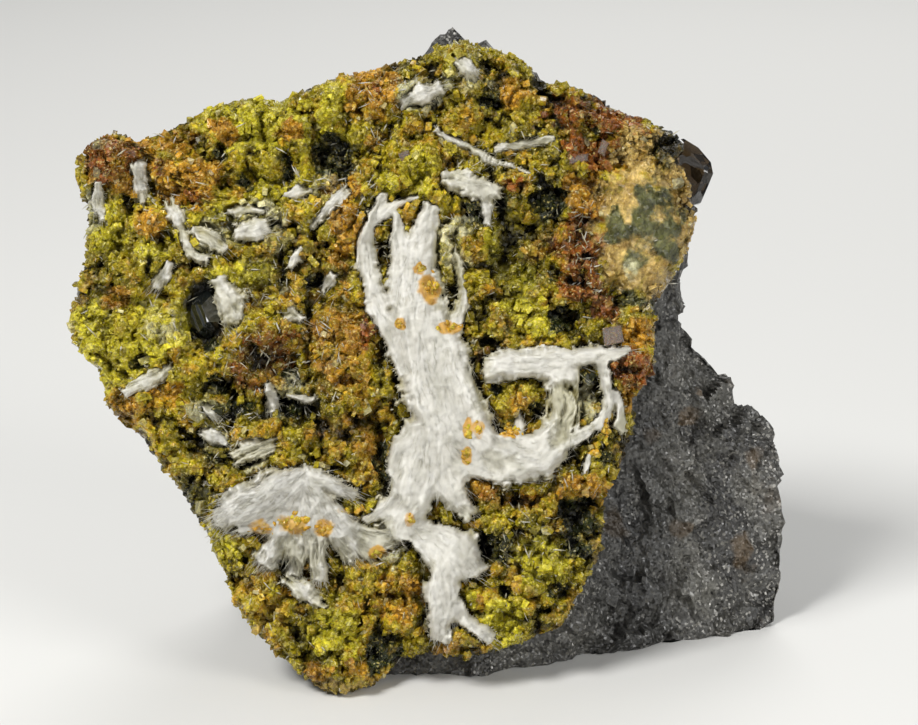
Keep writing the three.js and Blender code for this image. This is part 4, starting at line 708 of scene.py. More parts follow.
def crust_material():
    """Granular barite stained by iron: glassy, sugary, from olive and lemon through amber to rust.

    Each knob has its own hue, clouds carry the hue on from knob to knob, and fine noise gives the sugar.
    Shade is painted near black into the creases between the knobs, and highlights are painted pale on
    scattered fine cells.
    """
    material, tree, shader = new_material("granular_barite", IOR=1.64, Specular_IOR_Level=0.25,
                                          Subsurface_Weight=0.25, Subsurface_Radius=(1.0, 0.8, 0.3),
                                          Subsurface_Scale=0.5 * MM, Coat_Weight=0.1, Coat_Roughness=0.05)
    place = add(tree, "TexCoord", out="Object")
    fields = {key: add(tree, "Attribute", out="Fac", attribute_name=key)
              for key in COLOURS + ("tint", "knob", "hollow", "film")}
    clouds = add(tree, "TexNoise",
                 {"Vector": place, "Scale": 1 / (2.0 * MM), "Detail": 7.0, "Roughness": 0.7}, "Color")
    parts = add(tree, "SeparateColor", {0: clouds}, None)
    sugar = add(tree, "TexNoise",
                {"Vector": place, "Scale": 1 / (0.34 * MM), "Detail": 4.0, "Roughness": 0.75}, "Color")
    sugar = add(tree, "SeparateColor", {0: sugar}, None)
    chance, height = tilted_cells(tree, place, 0.38, 1.5)
    # Painted highlights: the brightest fine cells, 0.17 mm across, are painted pale cream to stand for
    # sparkle on the facets.
    painted_glint = tilted_cells(tree, place, 0.17, 1.0)[0]

    vary = add(tree, "Math", {0: sugar[0], 1: 0.5, 2: parts[2]}, operation="MULTIPLY_ADD")
    vary = add(tree, "Math", {0: fields["knob"], 1: 0.3, 2: vary}, operation="MULTIPLY_ADD")
    vary = add(tree, "MapRange", {0: vary, 1: 0.62, 2: 1.12})
    colour = add(tree, "Mix", {0: vary, 6: linear("#5a520c"), 7: linear("#c8b424")}, **COLOUR_MIX)
    honey = add(tree, "Mix", {0: vary, 6: linear("#6e4c0e"), 7: linear("#cfa02e")}, **COLOUR_MIX)
    warm = add(tree, "Math", {0: fields["knob"], 1: 0.22, 2: parts[1]}, operation="MULTIPLY_ADD")
    warm = add(tree, "MapRange", {0: warm, 1: 0.6, 2: 0.74, 4: 0.95})
    colour = add(tree, "Mix", {0: warm, 6: colour, 7: honey}, **COLOUR_MIX)
    # The dark layer is painted shade in the pits and crevices.
    layers = (("lemon", "#938912", "#e8d93c", 0), ("amber", "#7c5210", "#dba230", 1),
              ("rust", "#3a1a08", "#a55f20", 2), ("tan", "#80601f", "#d8ba70", 0),
              ("moss", "#2e301a", "#6a6a3e", 1), ("frost", "#8f8a4e", "#d3cfa6", 2),
              ("dark", "#0b0e06", "#3c4220", 0))
    for field, low, high, part in layers:
        lift = add(tree, "MapRange", {0: parts[part], 1: 0.32, 2: 0.6, 3: 0.3, 4: 1.3})
        weight = add(tree, "Math", {0: lift, 1: fields[field]}, operation="MULTIPLY")
        weight = add(tree, "MapRange", {0: weight, 1: 0.15, 2: 0.8}, interpolation_type="SMOOTHSTEP")
        stain = add(tree, "Mix", {0: vary, 6: linear(low), 7: linear(high)}, **COLOUR_MIX)
        colour = add(tree, "Mix", {0: weight, 6: colour, 7: stain}, **COLOUR_MIX)
    pale = add(tree, "MapRange", {0: sugar[1], 1: 0.58, 2: 0.74, 4: 0.24})
    film = add(tree, "Math", {0: sugar[2], 1: 0.35, 2: fields["film"]}, operation="MULTIPLY_ADD")
    film = add(tree, "MapRange", {0: film, 1: 0.4, 2: 0.95, 4: 0.85})
    for share, code in ((pale, "#e6d066"), (film, "#ccc69c")):
        colour = add(tree, "Mix", {0: share, 6: colour, 7: linear(code)}, **COLOUR_MIX)
    bright = add(tree, "Math", {0: fields["tint"], 1: 0.35, 2: sugar[0]}, operation="MULTIPLY_ADD")
    bright = add(tree, "MapRange", {0: bright, 1: 0.36, 2: 0.95, 3: 0.36, 4: 1.38})
    colour = add(tree, "VectorMath", {0: colour, "Scale": bright}, operation="SCALE")
    # The painted highlights reach half strength at most, and none where the tan rind is full.
    plain = add(tree, "Math", {0: fields["tan"], 1: -0.5, 2: 0.5}, operation="MULTIPLY_ADD")
    painted_glint = add(tree, "MapRange", {0: painted_glint[0], 1: 0.86, 2: 0.97, 4: plain})
    # Painted shade: the depth between the knobs darkens the colour to near black.
    crease_shade_mix = add(tree, "MapRange", {0: fields["hollow"], 1: 0.12, 4: 0.95})
    for share, code in ((painted_glint, "#ead784"), (crease_shade_mix, "#0d0c06")):
        colour = add(tree, "Mix", {0: share, 6: colour, 7: linear(code)}, **COLOUR_MIX)
    gloss = add(tree, "MapRange", {0: chance[1], 3: 0.08, 4: 0.4})
    grit = add(tree, "Math", {0: sugar[0], 1: 0.12 * MM, 2: height}, operation="MULTIPLY_ADD")
    bump = add(tree, "Bump", {"Height": grit, "Strength": 1.0, "Distance": 1.0})
    feed(tree, shader, {"Base Color": colour, "Roughness": gloss, "Normal": bump})
    return material


def silk_material():
    """Silky fibrous ettringite: milky white, soft in gloss, yellowed by the crust where clear or thin."""
    material, tree, shader = new_material("silky_ettringite", IOR=1.47, Roughness=0.5, Subsurface_Weight=0.55,
                                          Subsurface_Radius=(1.0, 1.0, 1.0), Subsurface_Scale=0.7 * MM)
    place = add(tree, "TexCoord", out="Object")
    clouds = add(tree, "TexNoise", {"Vector": place, "Scale": 1 / (1.8 * MM), "Detail": 6.0})
    tint, clear, ochre, thin = (add(tree, "Attribute", out="Fac", attribute_name=name)
                                for name in ("tint", "clear", "ochre", "thin"))
    colour = add(tree, "Mix", {0: tint, 6: linear("#bab7ac"), 7: linear("#d6d3c9")}, **COLOUR_MIX)
    grey = add(tree, "MapRange", {0: clouds, 1: 0.48, 2: 0.72, 4: 0.5})
    glass = add(tree, "Math", {0: clear, 1: 0.6}, operation="MULTIPLY")
    through = add(tree, "Math", {0: thin, 1: 0.6}, operation="MULTIPLY")
    stain = add(tree, "Math", {0: ochre, 1: clouds}, operation="MULTIPLY")
    stain = add(tree, "MapRange", {0: stain, 1: 0.2, 2: 0.45, 4: 0.9})
    for share, code in ((grey, "#999684"), (glass, "#9a9468"), (through, "#a5984c"), (stain, "#c8952c")):
        colour = add(tree, "Mix", {0: share, 6: colour, 7: linear(code)}, **COLOUR_MIX)
    fine = add(tree, "TexNoise", {"Vector": place, "Scale": 1 / (0.14 * MM), "Detail": 3.0})
    bump = add(tree, "Bump", {"Height": fine, "Strength": 0.45, "Distance": 0.05 * MM})
    feed(tree, shader, {"Base Color": colour, "Normal": bump})
    return material


def ore_material():
    """Fine-grained manganese ore, broken: dark grey with a steely glitter from each tiny cleavage."""
    material, tree, shader = new_material("broken_manganese_ore", Metallic=0.25, IOR=2.0)
    place = add(tree, "TexCoord", out="Object")
    chance, fine = tilted_cells(tree, place, 0.22, 1.2)
    wide = tilted_cells(tree, place, 0.9, 0.5)[1]
    clouds = add(tree, "TexNoise",
                 {"Vector": place, "Scale": 1 / (5 * MM), "Detail": 7.0, "Roughness": 0.6}, "Color")
    parts = add(tree, "SeparateColor", {0: clouds}, None)
    band, pale, dull, brown = (add(tree, "Attribute", out="Fac", attribute_name=name)
                               for name in ("band", "ore_light", "ore_dark", "ore_brown"))
    light = add(tree, "Math", {0: pale, 1: 0.45, 2: parts[0]}, operation="MULTIPLY_ADD")
    light = add(tree, "Math", {0: dull, 1: -0.3, 2: light}, operation="MULTIPLY_ADD")
    light = add(tree, "MapRange", {0: light, 1: 0.3, 2: 0.8})
    colour = add(tree, "Mix", {0: light, 6: linear("#282622"), 7: linear("#65635b")}, **COLOUR_MIX)
    speck = add(tree, "MapRange", {0: chance[0], 1: 0.78, 2: 0.95})
    pore = add(tree, "MapRange", {0: chance[2], 1: 0.75, 2: 0.95, 4: 0.8})
    stain = add(tree, "Math", {0: brown, 1: 0.35, 2: parts[1]}, operation="MULTIPLY_ADD")
    stain = add(tree, "MapRange", {0: stain, 1: 0.6, 2: 0.8, 4: 0.8})
    band = add(tree, "Math", {0: band, 1: 0.6}, operation="MULTIPLY")
    for share, code in ((speck, "#9d9a92"), (pore, "#242220"), (stain, "#5a4524"), (band, "#22211f")):
        colour = add(tree, "Mix", {0: share, 6: colour, 7: linear(code)}, **COLOUR_MIX)
    gloss = add(tree, "MapRange", {0: chance[1], 3: 0.32, 4: 0.62})
    height = add(tree, "Math", {0: fine, 1: wide}, operation="ADD")
    bump = add(tree, "Bump", {"Height": height, "Strength": 0.9, "Distance": 1.0})
    feed(tree, shader, {"Base Color": colour, "Roughness": gloss, "Normal": bump})
    return material


def jet_material():
    """Black crystal with a bright lustre, fine growth lines across its faces."""
    material, tree, shader = new_material("lustrous_black_crystal", IOR=2.2, Roughness=0.12)
    place = add(tree, "TexCoord", out="Object")
    steps = add(tree, "Mapping", {"Vector": place, "Rotation": (0.4, 0.3, 0.5)})
    lines = add(tree, "TexWave", {"Vector": steps, "Scale": 1 / (2.2 * MM), "Distortion": 3.0, "Detail": 3.0},
                "Fac")
    stain = add(tree, "TexNoise", {"Vector": place, "Scale": 1 / (0.8 * MM), "Detail": 3.0})
    dark = add(tree, "Mix", {0: stain, 6: linear("#060706"), 7: linear("#1d211f")}, **COLOUR_MIX)
    bump = add(tree, "Bump", {"Height": lines, "Strength": 0.5, "Distance": 0.12 * MM})
    feed(tree, shader, {"Base Color": dark, "Normal": bump})
    return material


def smoky_material():
    """Smoky clear crystal: plain transmission, with a brown tint that deepens with thickness."""
    material, tree, shader = new_material("smoky_clear_crystal", Base_Color=linear("#a8977c"), IOR=1.55,
                                          Roughness=0.06, Transmission_Weight=1.0)
    place = add(tree, "TexCoord", out="Object")
    height = tilted_cells(tree, place, 1.0, 0.9)[1]
    bump = add(tree, "Bump", {"Height": height, "Strength": 1.0, "Distance": 1.0})
    feed(tree, shader, {"Normal": bump})
    soak = add(tree, "VolumeAbsorption", {"Color": linear("#8a7654"), "Density": 800.0})
    out = [node for node in tree.nodes if node.type == "OUTPUT_MATERIAL"][0]
    feed(tree, out, {"Volume": soak})
    return material


def plate_material():
    """Pale tabular barite: greyish pink, glassy, milky in patches."""
    material, tree, shader = new_material("pale_tabular_barite", IOR=1.64, Roughness=0.2,
                                          Subsurface_Weight=0.2, Subsurface_Scale=0.6 * MM,
                                          Transmission_Weight=0.8)
    place = add(tree, "TexCoord", out="Object")
    clouds = add(tree, "TexNoise", {"Vector": place, "Scale": 1 / (0.9 * MM), "Detail": 4.0})
    colour = add(tree, "Mix", {0: clouds, 6: linear("#b09a8e"), 7: linear("#d6c8bd")}, **COLOUR_MIX)
    bump = add(tree, "Bump", {"Height": clouds, "Strength": 0.4, "Distance": 0.08 * MM})
    feed(tree, shader, {"Base Color": colour, "Normal": bump})
    return material


# ---- The crust and its grains ----------------------------------------------------------------

def painted_crease_shade(u, v, w):
    """Painted shade between the knobs, 0 to 1: a point's depth under the crust's body plus 0.8 mm.

    It darkens the colour where shade falls in the creases, and where the dark ore shows in the pits.
    The clear lemon and amber grains let light through, so their hollows are less than half as dark.
    """
    clear = np.maximum(patch("lemon", u, v), patch("amber", u, v))
    depth = np.clip((crust_body(u, v) + 0.8 - w) / 1.15, 0, 1)
    return depth * (1 - within(u, v, *BOSS[:4], 5)) * (1 - 0.55 * clear)


def crust_fields(u, v, w, tint):
    """The crust's patches at each point, its knob's mark, its film, its depth in a hollow for the painted
    crease shade, and its tint.
    """
    fields = {name: patch(name, u, v) for name in COLOURS}
    fields["knob"] = knobs(u, v)[1]
    fields["film"] = web(u, v)
    fields["hollow"] = painted_crease_shade(u, v, w)
    fields["tint"] = tint
    return fields


def build_crust(material, steps=304):
    """A square grid spread over the outline, its surface above, a short wall and a flat back."""
    a, b = np.meshgrid(np.linspace(-1, 1, steps + 1), np.linspace(-1, 1, steps + 1))
    x, y = a * np.sqrt(1 - b * b / 2), b * np.sqrt(1 - a * a / 2)
    angle = np.arctan2(y, x)
    reach = reach_at(angle) * np.minimum(1, np.hypot(x, y))
    u, v = from_centre(angle, reach)
    front = np.stack([u, v, np.maximum(crust_surface(u, v), 0.4 - CRUST_BACK)], -1)
    side = np.arange(steps)
    edge = np.concatenate([side, side * (steps + 1) + steps, (steps + 1) ** 2 - 1 - side,
                           (steps - side) * (steps + 1)])
    rim = front.reshape(-1, 3)[edge]
    out = rim[:, :2] - CRUST_CENTRE
    inward = out * (1 - RIM_UNDERCUT / np.hypot(out[:, 0], out[:, 1]))[:, None] + CRUST_CENTRE
    back = np.column_stack([inward, np.full(len(edge), -CRUST_BACK)])
    waist = (rim + back) / 2 + 0.15 * rng.normal(size=rim.shape)
    n = len(edge)
    first = (steps + 1) ** 2
    count = np.arange(n)
    after = (count + 1) % n
    rows = [edge, first + count, first + n + count]
    triangles = [grid_triangles(steps + 1, steps + 1)]
    for upper, lower in zip(rows[:-1], rows[1:]):
        triangles.append(np.stack([upper[count], lower[count], upper[after]], -1))
        triangles.append(np.stack([upper[after], lower[count], lower[after]], -1))
    middle = first + 2 * n
    triangles.append(np.stack([0 * count + middle, rows[2][after], rows[2][count]], -1))
    points = np.concatenate([front.reshape(-1, 3), waist, back, [(*CRUST_CENTRE, -CRUST_BACK)]])
    fields = crust_fields(points[:, 0], points[:, 1], points[:, 2],
                          swells(*(points.T / 0.7)))
    piece = make_piece("crust_surface", on_face(points), np.concatenate(triangles), material,
                       True, fields)
    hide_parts("barite_crust")


def crust_places(count):
    """Places over the crust's front, even in u and v, with w on its surface."""
    low, high = outline.min(0) + CRUST_CENTRE, outline.max(0) + CRUST_CENTRE
    places = rng.uniform(low, high, (3 * count, 2))
    off = places - CRUST_CENTRE
    inside = np.hypot(off[:, 0], off[:, 1]) < reach_at(np.arctan2(off[:, 1], off[:, 0])) - 0.05
    places = places[inside][:count]
    return np.column_stack([places, crust_surface(places[:, 0], places[:, 1])])


def edge_places(count):
    """Places on the crust's side wall, from the rim's edge down to the undercut back."""
    angle, depth = rng.uniform(-math.pi, math.pi, count), rng.random(count)
    reach = reach_at(angle) - 0.1 - depth * RIM_UNDERCUT
    u, v = from_centre(angle, reach)
    top = crust_surface(*from_centre(angle, reach_at(angle) - 0.05))
    return np.column_stack([u, v, top + (-CRUST_BACK + 0.2 - top) * depth])


def build_grains(name, material, count, edge_count, low, high, shape, sides):
    """Grains all over the crust, bigger ones rarer, sunk in its surface, none on sprays, films and boss.

    One grain in sixteen is a pale clear one, and each has its own share of the hue of its knob.
    """
    places = np.concatenate([crust_places(count), edge_places(edge_count)])
    u, v = places[:, 0], places[:, 1]
    bare = np.maximum(within(u, v, *BOSS[:4], 8), 0.9 * web(u, v))
    keep = (spray_cover(u, v) < 0.5) & (rng.random(len(u)) > bare)
    for mu, mv, ru, rv, _ in SOCKETS:
        keep &= apart(u, v, mu, mv, ru, rv) > SOCKET_GAP
    keep &= on_face(places)[:, 2] > GRAIN_FOOT * MM
    places = places[keep]
    clump = swells(places[:, 0] / 2.0, places[:, 1] / 2.0, np.full(len(places), 8.0))
    sizes = low + (high - low) * rng.random(len(places)) ** 2 * (0.35 + 1.2 * clump)
    places[:, 2] += sizes * rng.uniform(-0.5, 0.2, len(places))
    points, triangles, owner = grain_mesh(places, sizes, shape, sides)
    fields = crust_fields(*places.T, rng.random(len(places)))
    fields["knob"] = 0.4 * fields["knob"] + 0.6 * rng.random(len(places))
    frosted = rng.random(len(places)) < FROSTED_SHARE
    fields["film"] = np.where(frosted, rng.uniform(0.3, 0.7, len(places)), fields["film"])
    fields = {key: values[owner] for key, values in fields.items()}
    # Painted crease shade at each corner of a grain, from that corner's own depth.
    fields["hollow"] = painted_crease_shade(places[owner, 0], places[owner, 1], points[:, 2])
    make_piece(name, on_face(points), triangles, material, False, fields)


def build_inclusions(material):
    """Golden grains caught in the sprays: smooth flat drops in each ochre patch, half sunk in the felt.

    A patch gets 4 drops and 14 more for each unit of its area and strength.
    """
    spots = np.concatenate([
        rng.normal(0, 0.34, (int(4 + 14 * ru * rv * strength), 2)) * (ru, rv) + (mu, mv)
        for mu, mv, ru, rv, strength in PATCHES["ochre"]])
    w = np.maximum(felt(STRANDS["ettringite_great_spray"], *spots.T)[1],
                   felt(STRANDS["ettringite_fan"], *spots.T)[1])
    w = np.maximum(w, crust_body(*spots.T) + 1.0)
    sizes = rng.uniform(0.12, 0.36, len(spots))
    places = np.column_stack([spots, w + rng.uniform(-0.12, -0.02, len(spots))])
    points, triangles, owner = grain_mesh(places, sizes, ROUND, ROUND_SIDES)
    points[:, 2] = places[owner, 2] + 0.45 * (points[:, 2] - places[owner, 2])
    fields = {name: np.zeros(len(points)) for name in COLOURS + ("hollow", "film")}
    fields["amber"] = rng.uniform(0.2, 0.9, len(spots))[owner]
    fields["lemon"] = np.full(len(points), 0.4)
    fields["knob"] = np.ones(len(points))
    fields["tint"] = rng.uniform(0.3, 0.9, len(spots))[owner]
    make_piece("ochre_inclusions", on_face(points), triangles, material, True, fields)


# ---- The sprays ------------------------------------------------------------------------------

def strand_grid(strand, u, v):
    """For each point: its distance along a strand and across it, q (1 on the edge), rise and heading.

    q is the fourth root of the sum of the fourth powers of two shares: that of the half width across
    and that of the end's own length past it, which squares the end off.
    """
    places, slopes = along(strand, np.linspace(-0.03, 1.03, 10 * len(strand)))
    steps = np.concatenate([[0], np.cumsum(np.hypot(*np.diff(places[:, :2], axis=0).T))])
    gap = (u[..., None] - places[:, 0]) ** 2 + (v[..., None] - places[:, 1]) ** 2
    near = gap.argmin(-1)
    heading = unit(slopes[near][..., :2])
    du, dv = u - places[near][..., 0], v - places[near][..., 1]
    across = heading[..., 0] * dv - heading[..., 1] * du
    past = heading[..., 0] * du + heading[..., 1] * dv
    half = np.maximum(places[near][..., 2], max(0.28, 0.55 * places[:, 2].max() if len(strand) < 5 else 0))
    q = (np.abs(across / half) ** 4 + np.abs(past / (0.55 * half + 0.1)) ** 4) ** 0.25
    rise = SPRAY_SEAT + SPRAY_RISE * half
    return steps[near] + past, across, q, rise, heading


def clearness(u, v, loose):
    """How clear the fibres are: the clear patches, and in loose small sprays clouds of noise as well."""
    clouds = loose * np.clip(2.6 * ragged(u / 1.3, v / 1.3, 33) + 0.35, 0, 0.9)
    return np.maximum(patch("clear", u, v), clouds)


def felt(strands, u, v, loose=0.0):
    """Felt over strands: its strength, above FELT_EDGE inside, its height w, streak and fibre heading.

    A strand's strength is (1 - (q / STRAND_REACH)²)³.  The strengths are joined by raising each to
    JOIN_POWER, adding them up and taking that root, so that neighbours melt together.  Noise drawn out
    along and across the fibres frays the felt near its edge, most where it is clear.  Its height over
    the crust's body is the mean rise times the strength past the edge to the power 0.62.  Loose felt
    is clearer and more torn.
    """
    wu = u + 0.9 * ragged(u / 1.8, v / 1.8, 1)
    wv = v + 0.9 * ragged(u / 1.8, v / 1.8, 3)
    total, joined, rise, streak, teeth = (0 * u for _ in range(5))
    heading = np.zeros(u.shape + (2,))
    for number, strand in enumerate(strands):
        a, c, q, high, way = strand_grid(strand, wu, wv)
        part = np.maximum(0.0, 1 - (q / STRAND_REACH) ** 2) ** 3
        order = 3.0 * number
        total, joined = total + part, joined + part ** JOIN_POWER
        rise = rise + part * high
        fine = 0.8 * swells(c / 0.14, a / 1.4, order)
        streak = streak + part * (swells(c / 0.3, a / 2.8, order) + fine - 0.9)
        teeth = teeth + part * (swells(a / 0.32, c / 1.1, order) + swells(c / 0.24, a / 1.4, order) - 1.0)
        heading = heading + part[..., None] * way
    share = np.maximum(total, 1e-6)
    rise, streak, teeth = rise / share, streak / share, teeth / share
    smooth = joined ** (1 / JOIN_POWER)
    clear = clearness(u, v, loose)
    fray = 0.4 * teeth + (0.5 + 0.5 * loose) * ragged(u / 0.7, v / 0.7, 0)
    fray = fray * np.clip((0.8 - smooth) / 0.4, 0.1, 1) - 0.9 * patch("hole", u, v)
    strength = smooth + np.where(smooth > 0, fray - clear * (0.2 - 0.8 * streak), 0)
    shape = np.clip((strength - FELT_EDGE) / 0.55, 0, 1) ** 0.62
    tufts = 0.8 * ragged(u / 1.9, v / 1.9, 2) + 0.12 * (swells(u / 0.4, v / 0.4, 0) - 0.5)
    w = crust_body(u, v) + 0.15 + shape * (rise * (1 - 0.35 * clear) + tufts + 0.08 * streak)
    return strength, np.where(strength > FELT_EDGE, w, NO_FELT), streak, unit(heading, 1e-6), smooth


def felt_shell(strands, pitch, count, radius, loose):
    """A closed thin shell over strands on a square grid, its fibres and the teeth along its torn edge.

    Gives points, triangles and the streak and thinness at each point, once for each of the three.
    """
    reach = np.concatenate([np.array(strand)[:, :2] for strand in strands])
    low, high = reach.min(0) - 3.2, reach.max(0) + 3.2
    u, v = np.meshgrid(np.arange(low[0], high[0], pitch), np.arange(low[1], high[1], pitch))
    strength, w, streak, heading, smooth = felt(strands, u, v, loose)
    inside = w > NO_FELT
    cell = inside[:-1, :-1] & inside[1:, :-1] & inside[:-1, 1:] & inside[1:, 1:]
    padded = np.pad(cell, 1)
    used = padded[:-1, :-1] | padded[1:, :-1] | padded[:-1, 1:] | padded[1:, 1:]
    full = padded[:-1, :-1] & padded[1:, :-1] & padded[:-1, 1:] & padded[1:, 1:]
    base = crust_body(u, v)
    w = np.where(used & ~full, base + 0.1 + 0.35 * np.maximum(0, w - base), w)
    top = np.cumsum(used.ravel()).reshape(used.shape) - 1
    bottom = np.where(full, used.sum() + np.cumsum(full.ravel()).reshape(full.shape) - 1, top)
    points = np.concatenate([
        np.stack([u[used], v[used], w[used]], -1),
        np.stack([u[full], v[full], np.minimum(w[full] - 0.3, base[full] - 0.3)], -1),
    ])
    i, j = np.nonzero(cell)
    triangles = []
    for index, way in ((top, 1), (bottom, -1)):
        a, b, c, d = index[i, j], index[i, j + 1], index[i + 1, j + 1], index[i + 1, j]
        triangles += [np.stack([a, b, c][::way], -1), np.stack([a, c, d][::way], -1)]
    thin = np.clip(1.1 - (strength - FELT_EDGE) / 0.3, 0, 1)
    shell = (points, np.concatenate(triangles), np.concatenate([streak[used], streak[full]]),
             np.concatenate([thin[used], thin[full]]))

    pick = rng.integers(0, len(i), count)
    i, j = i[pick], j[pick]
    turn = rng.normal(0, 0.22, count)
    length = 0.5 + 1.7 * rng.random(count) ** 2
    way = heading[i, j]
    way = np.stack([way[:, 0] * np.cos(turn) - way[:, 1] * np.sin(turn),
                    way[:, 0] * np.sin(turn) + way[:, 1] * np.cos(turn)], -1)
    roots = np.stack([u[i, j], v[i, j]], -1) + rng.uniform(-0.5, 0.5, (count, 2)) * pitch
    tips = roots + way * length[:, None]
    ti = np.clip(np.rint((tips[:, 1] - low[1]) / pitch).astype(int), 0, u.shape[0] - 1)
    tj = np.clip(np.rint((tips[:, 0] - low[0]) / pitch).astype(int), 0, u.shape[1] - 1)
    end = np.where(used[ti, tj], w[ti, tj], w[i, j] - 0.15)
    fibres = needle_mesh(np.column_stack([roots, w[i, j] - 0.05]),
                         np.column_stack([tips, end + rng.uniform(-0.04, 0.07, count)]),
                         radius * rng.uniform(0.7, 1.3, count))

    i, j = np.nonzero(used & ~full)
    pick = rng.random(len(i)) < 0.75
    i, j = i[pick], j[pick]
    down_v, down_u = np.gradient(smooth)
    away = np.arctan2(-down_v[i, j], -down_u[i, j]) + rng.normal(0, 0.7, len(i))
    out = 0.12 + 0.45 * rng.random(len(i)) ** 3
    roots = np.stack([u[i, j] - 0.1 * np.cos(away), v[i, j] - 0.1 * np.sin(away), w[i, j]], -1)
    tips = roots + np.stack([out * np.cos(away), out * np.sin(away), rng.uniform(-0.25, 0.2, len(i))], -1)
    teeth = needle_mesh(roots, tips, rng.uniform(0.03, 0.08, len(i)))
    fibre_streak = np.repeat(rng.uniform(-0.5, 0.5, count), FIBRE_POINTS)
    fibre_thin = 0.5 * np.repeat(rng.random(count), FIBRE_POINTS)
    tooth_streak = np.repeat(rng.uniform(-0.3, 0.5, len(out)), FIBRE_POINTS)
    tooth_thin = np.full(len(tooth_streak), 0.7)
    return [shell, fibres + (fibre_streak, fibre_thin), teeth + (tooth_streak, tooth_thin)]


def build_spray(name, material, groups, pitch, count, radius, loose=0.0):
    """One piece of felt and fibres: each group of strands gets a shell, its teeth and its fibres."""
    parts = []
    for strands in groups:
        parts += felt_shell(strands, pitch, count // len(groups), radius, loose)
    points = np.concatenate([part[0] for part in parts])
    before = np.concatenate([[0], np.cumsum([len(part[0]) for part in parts])])
    triangles = np.concatenate([part[1] + start for part, start in zip(parts, before)])
    u, v = points[:, 0], points[:, 1]
    fields = {"tint": np.clip(0.5 + 0.8 * np.concatenate([part[2] for part in parts]), 0, 1),
              "clear": clearness(u, v, loose), "ochre": patch("ochre", u, v),
              "thin": np.concatenate([part[3] for part in parts])}
    return make_piece(name, on_face(points), triangles, material, True, fields)


def build_strays(material, count):
    """Loose fibres strewn over the crust, most of them in the needle and frost patches."""
    places = crust_places(8 * count)
    u, v = places[:, 0], places[:, 1]
    odds = (0.02 + 0.5 * np.maximum(patch("frost", u, v), patch("needles", u, v))) * (1 - spray_cover(u, v))
    places = places[rng.random(len(u)) < odds * (1 - 0.9 * within(u, v, *BOSS[:4], 4))][:count]
    n = len(places)
    angle = 12.0 * swells(places[:, 0] / 2, places[:, 1] / 2, np.full(n, 4.0)) + rng.normal(0, 0.6, n)
    way = np.stack([np.cos(angle), np.sin(angle), rng.uniform(-0.15, 0.2, n)], -1)
    tips = places + way * (0.35 + 1.0 * rng.random(n) ** 2)[:, None]
    points, triangles = needle_mesh(places + [0, 0, 0.06], tips, rng.uniform(0.03, 0.085, n))
    fields = {"tint": np.repeat(rng.random(n), FIBRE_POINTS), "clear": np.full(len(points), 0.1),
              "ochre": np.zeros(len(points)), "thin": np.repeat(rng.random(n), FIBRE_POINTS)}
    make_piece("stray_fibres", on_face(points), triangles, material, True, fields)


# ---- The ore ---------------------------------------------------------------------------------

def build_ore(material):
    """The rings of corners joined by straight breaks, pushed in and out by noise and small facets."""
    rings = [np.array(ring, float) for ring in ROCK_RINGS]
    mean = rings[-1].mean(0)
    share, height = ROCK_HUMP
    rings += [mean + (rings[-1] - mean) * part + [0, 0, height] for part in (share, 0.02)]
    around = np.arange(RING_CORNERS * RING_PARTS) / RING_PARTS
    corner, part = around.astype(int), (around % 1)[:, None]
    rows = []
    for level, steps in enumerate(RING_STEPS):
        near, far = (ring[corner] * (1 - part) + ring[(corner + 1) % RING_CORNERS] * part
                     for ring in rings[level:level + 2])
        for step in range(0 if level == 0 else 1, steps + 1):
            ramp = min(1.0, 2 * step / steps) if level == 0 else 1.0
            rows.append(np.column_stack([near + (far - near) * step / steps, np.full(len(around), ramp)]))
    grid = np.stack(rows)
    u, v, depth, ramp = grid[..., 0], grid[..., 1], grid[..., 2], grid[..., 3]
    away = unit(np.stack([u - CRUST_CENTRE[0], v - CRUST_CENTRE[1]], -1))
    coarse = swells(u / ROCK_BREAK, v / ROCK_BREAK, depth / ROCK_BREAK) - 0.5
    push = ramp * ROCK_ROUGHNESS * (coarse + 0.5 * (swells(u / 2, v / 2, depth / 2) - 0.5))
    body = np.stack([u + away[..., 0] * push, v + away[..., 1] * push, -depth + 0.4 * push], -1)
    down, across = np.gradient(body, axis=0), np.roll(body, -1, 1) - np.roll(body, 1, 1)
    normal = unit(np.cross(across, down), 1e-9)
    relief = (facets(u, v, depth, 3.4) - 0.9) * 0.5 + (facets(u, v, depth, 1.3) - 0.35) * 0.35
    relief += 0.18 * (facets(u, v, depth, 0.6) - 0.15)
    strips = np.clip((24.0 - u) / 3.0, 0, 1) * np.clip((u - 14) / 2, 0, 1)
    relief += 0.5 * strips * (swells(u / 0.55, v / 7.0, depth / 0.55) - 0.5)
    body = body + normal * (relief * ramp)[..., None]
    count, columns = body.shape[:2]
    points = np.concatenate([body.reshape(-1, 3), [(*CRUST_CENTRE, -rings[0][0][2])],
                             [(mean[0], mean[1], -mean[2] - 1.02 * height)]])
    triangles = [grid_triangles(count, columns, True)]
    k = np.arange(columns)
    n = count * columns
    triangles.append(np.stack([0 * k + n, k, (k + 1) % columns], -1))
    last = n - columns
    triangles.append(np.stack([0 * k + n + 1, last + (k + 1) % columns, last + k], -1))
    fields = {name: np.concatenate([patch(name, u, v).ravel(), [0, 0]])
              for name in ("ore_light", "ore_dark", "ore_brown")}
    fields["band"] = np.concatenate([(strips * np.clip((36 - v) / 4, 0, 1)).ravel(), [0, 0]])
    piece = make_piece("ore_surface", on_face(points), np.concatenate(triangles), material,
                       False, fields)
    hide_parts("matrix_rock")


# ---- Putting it together ---------------------------------------------------------------------

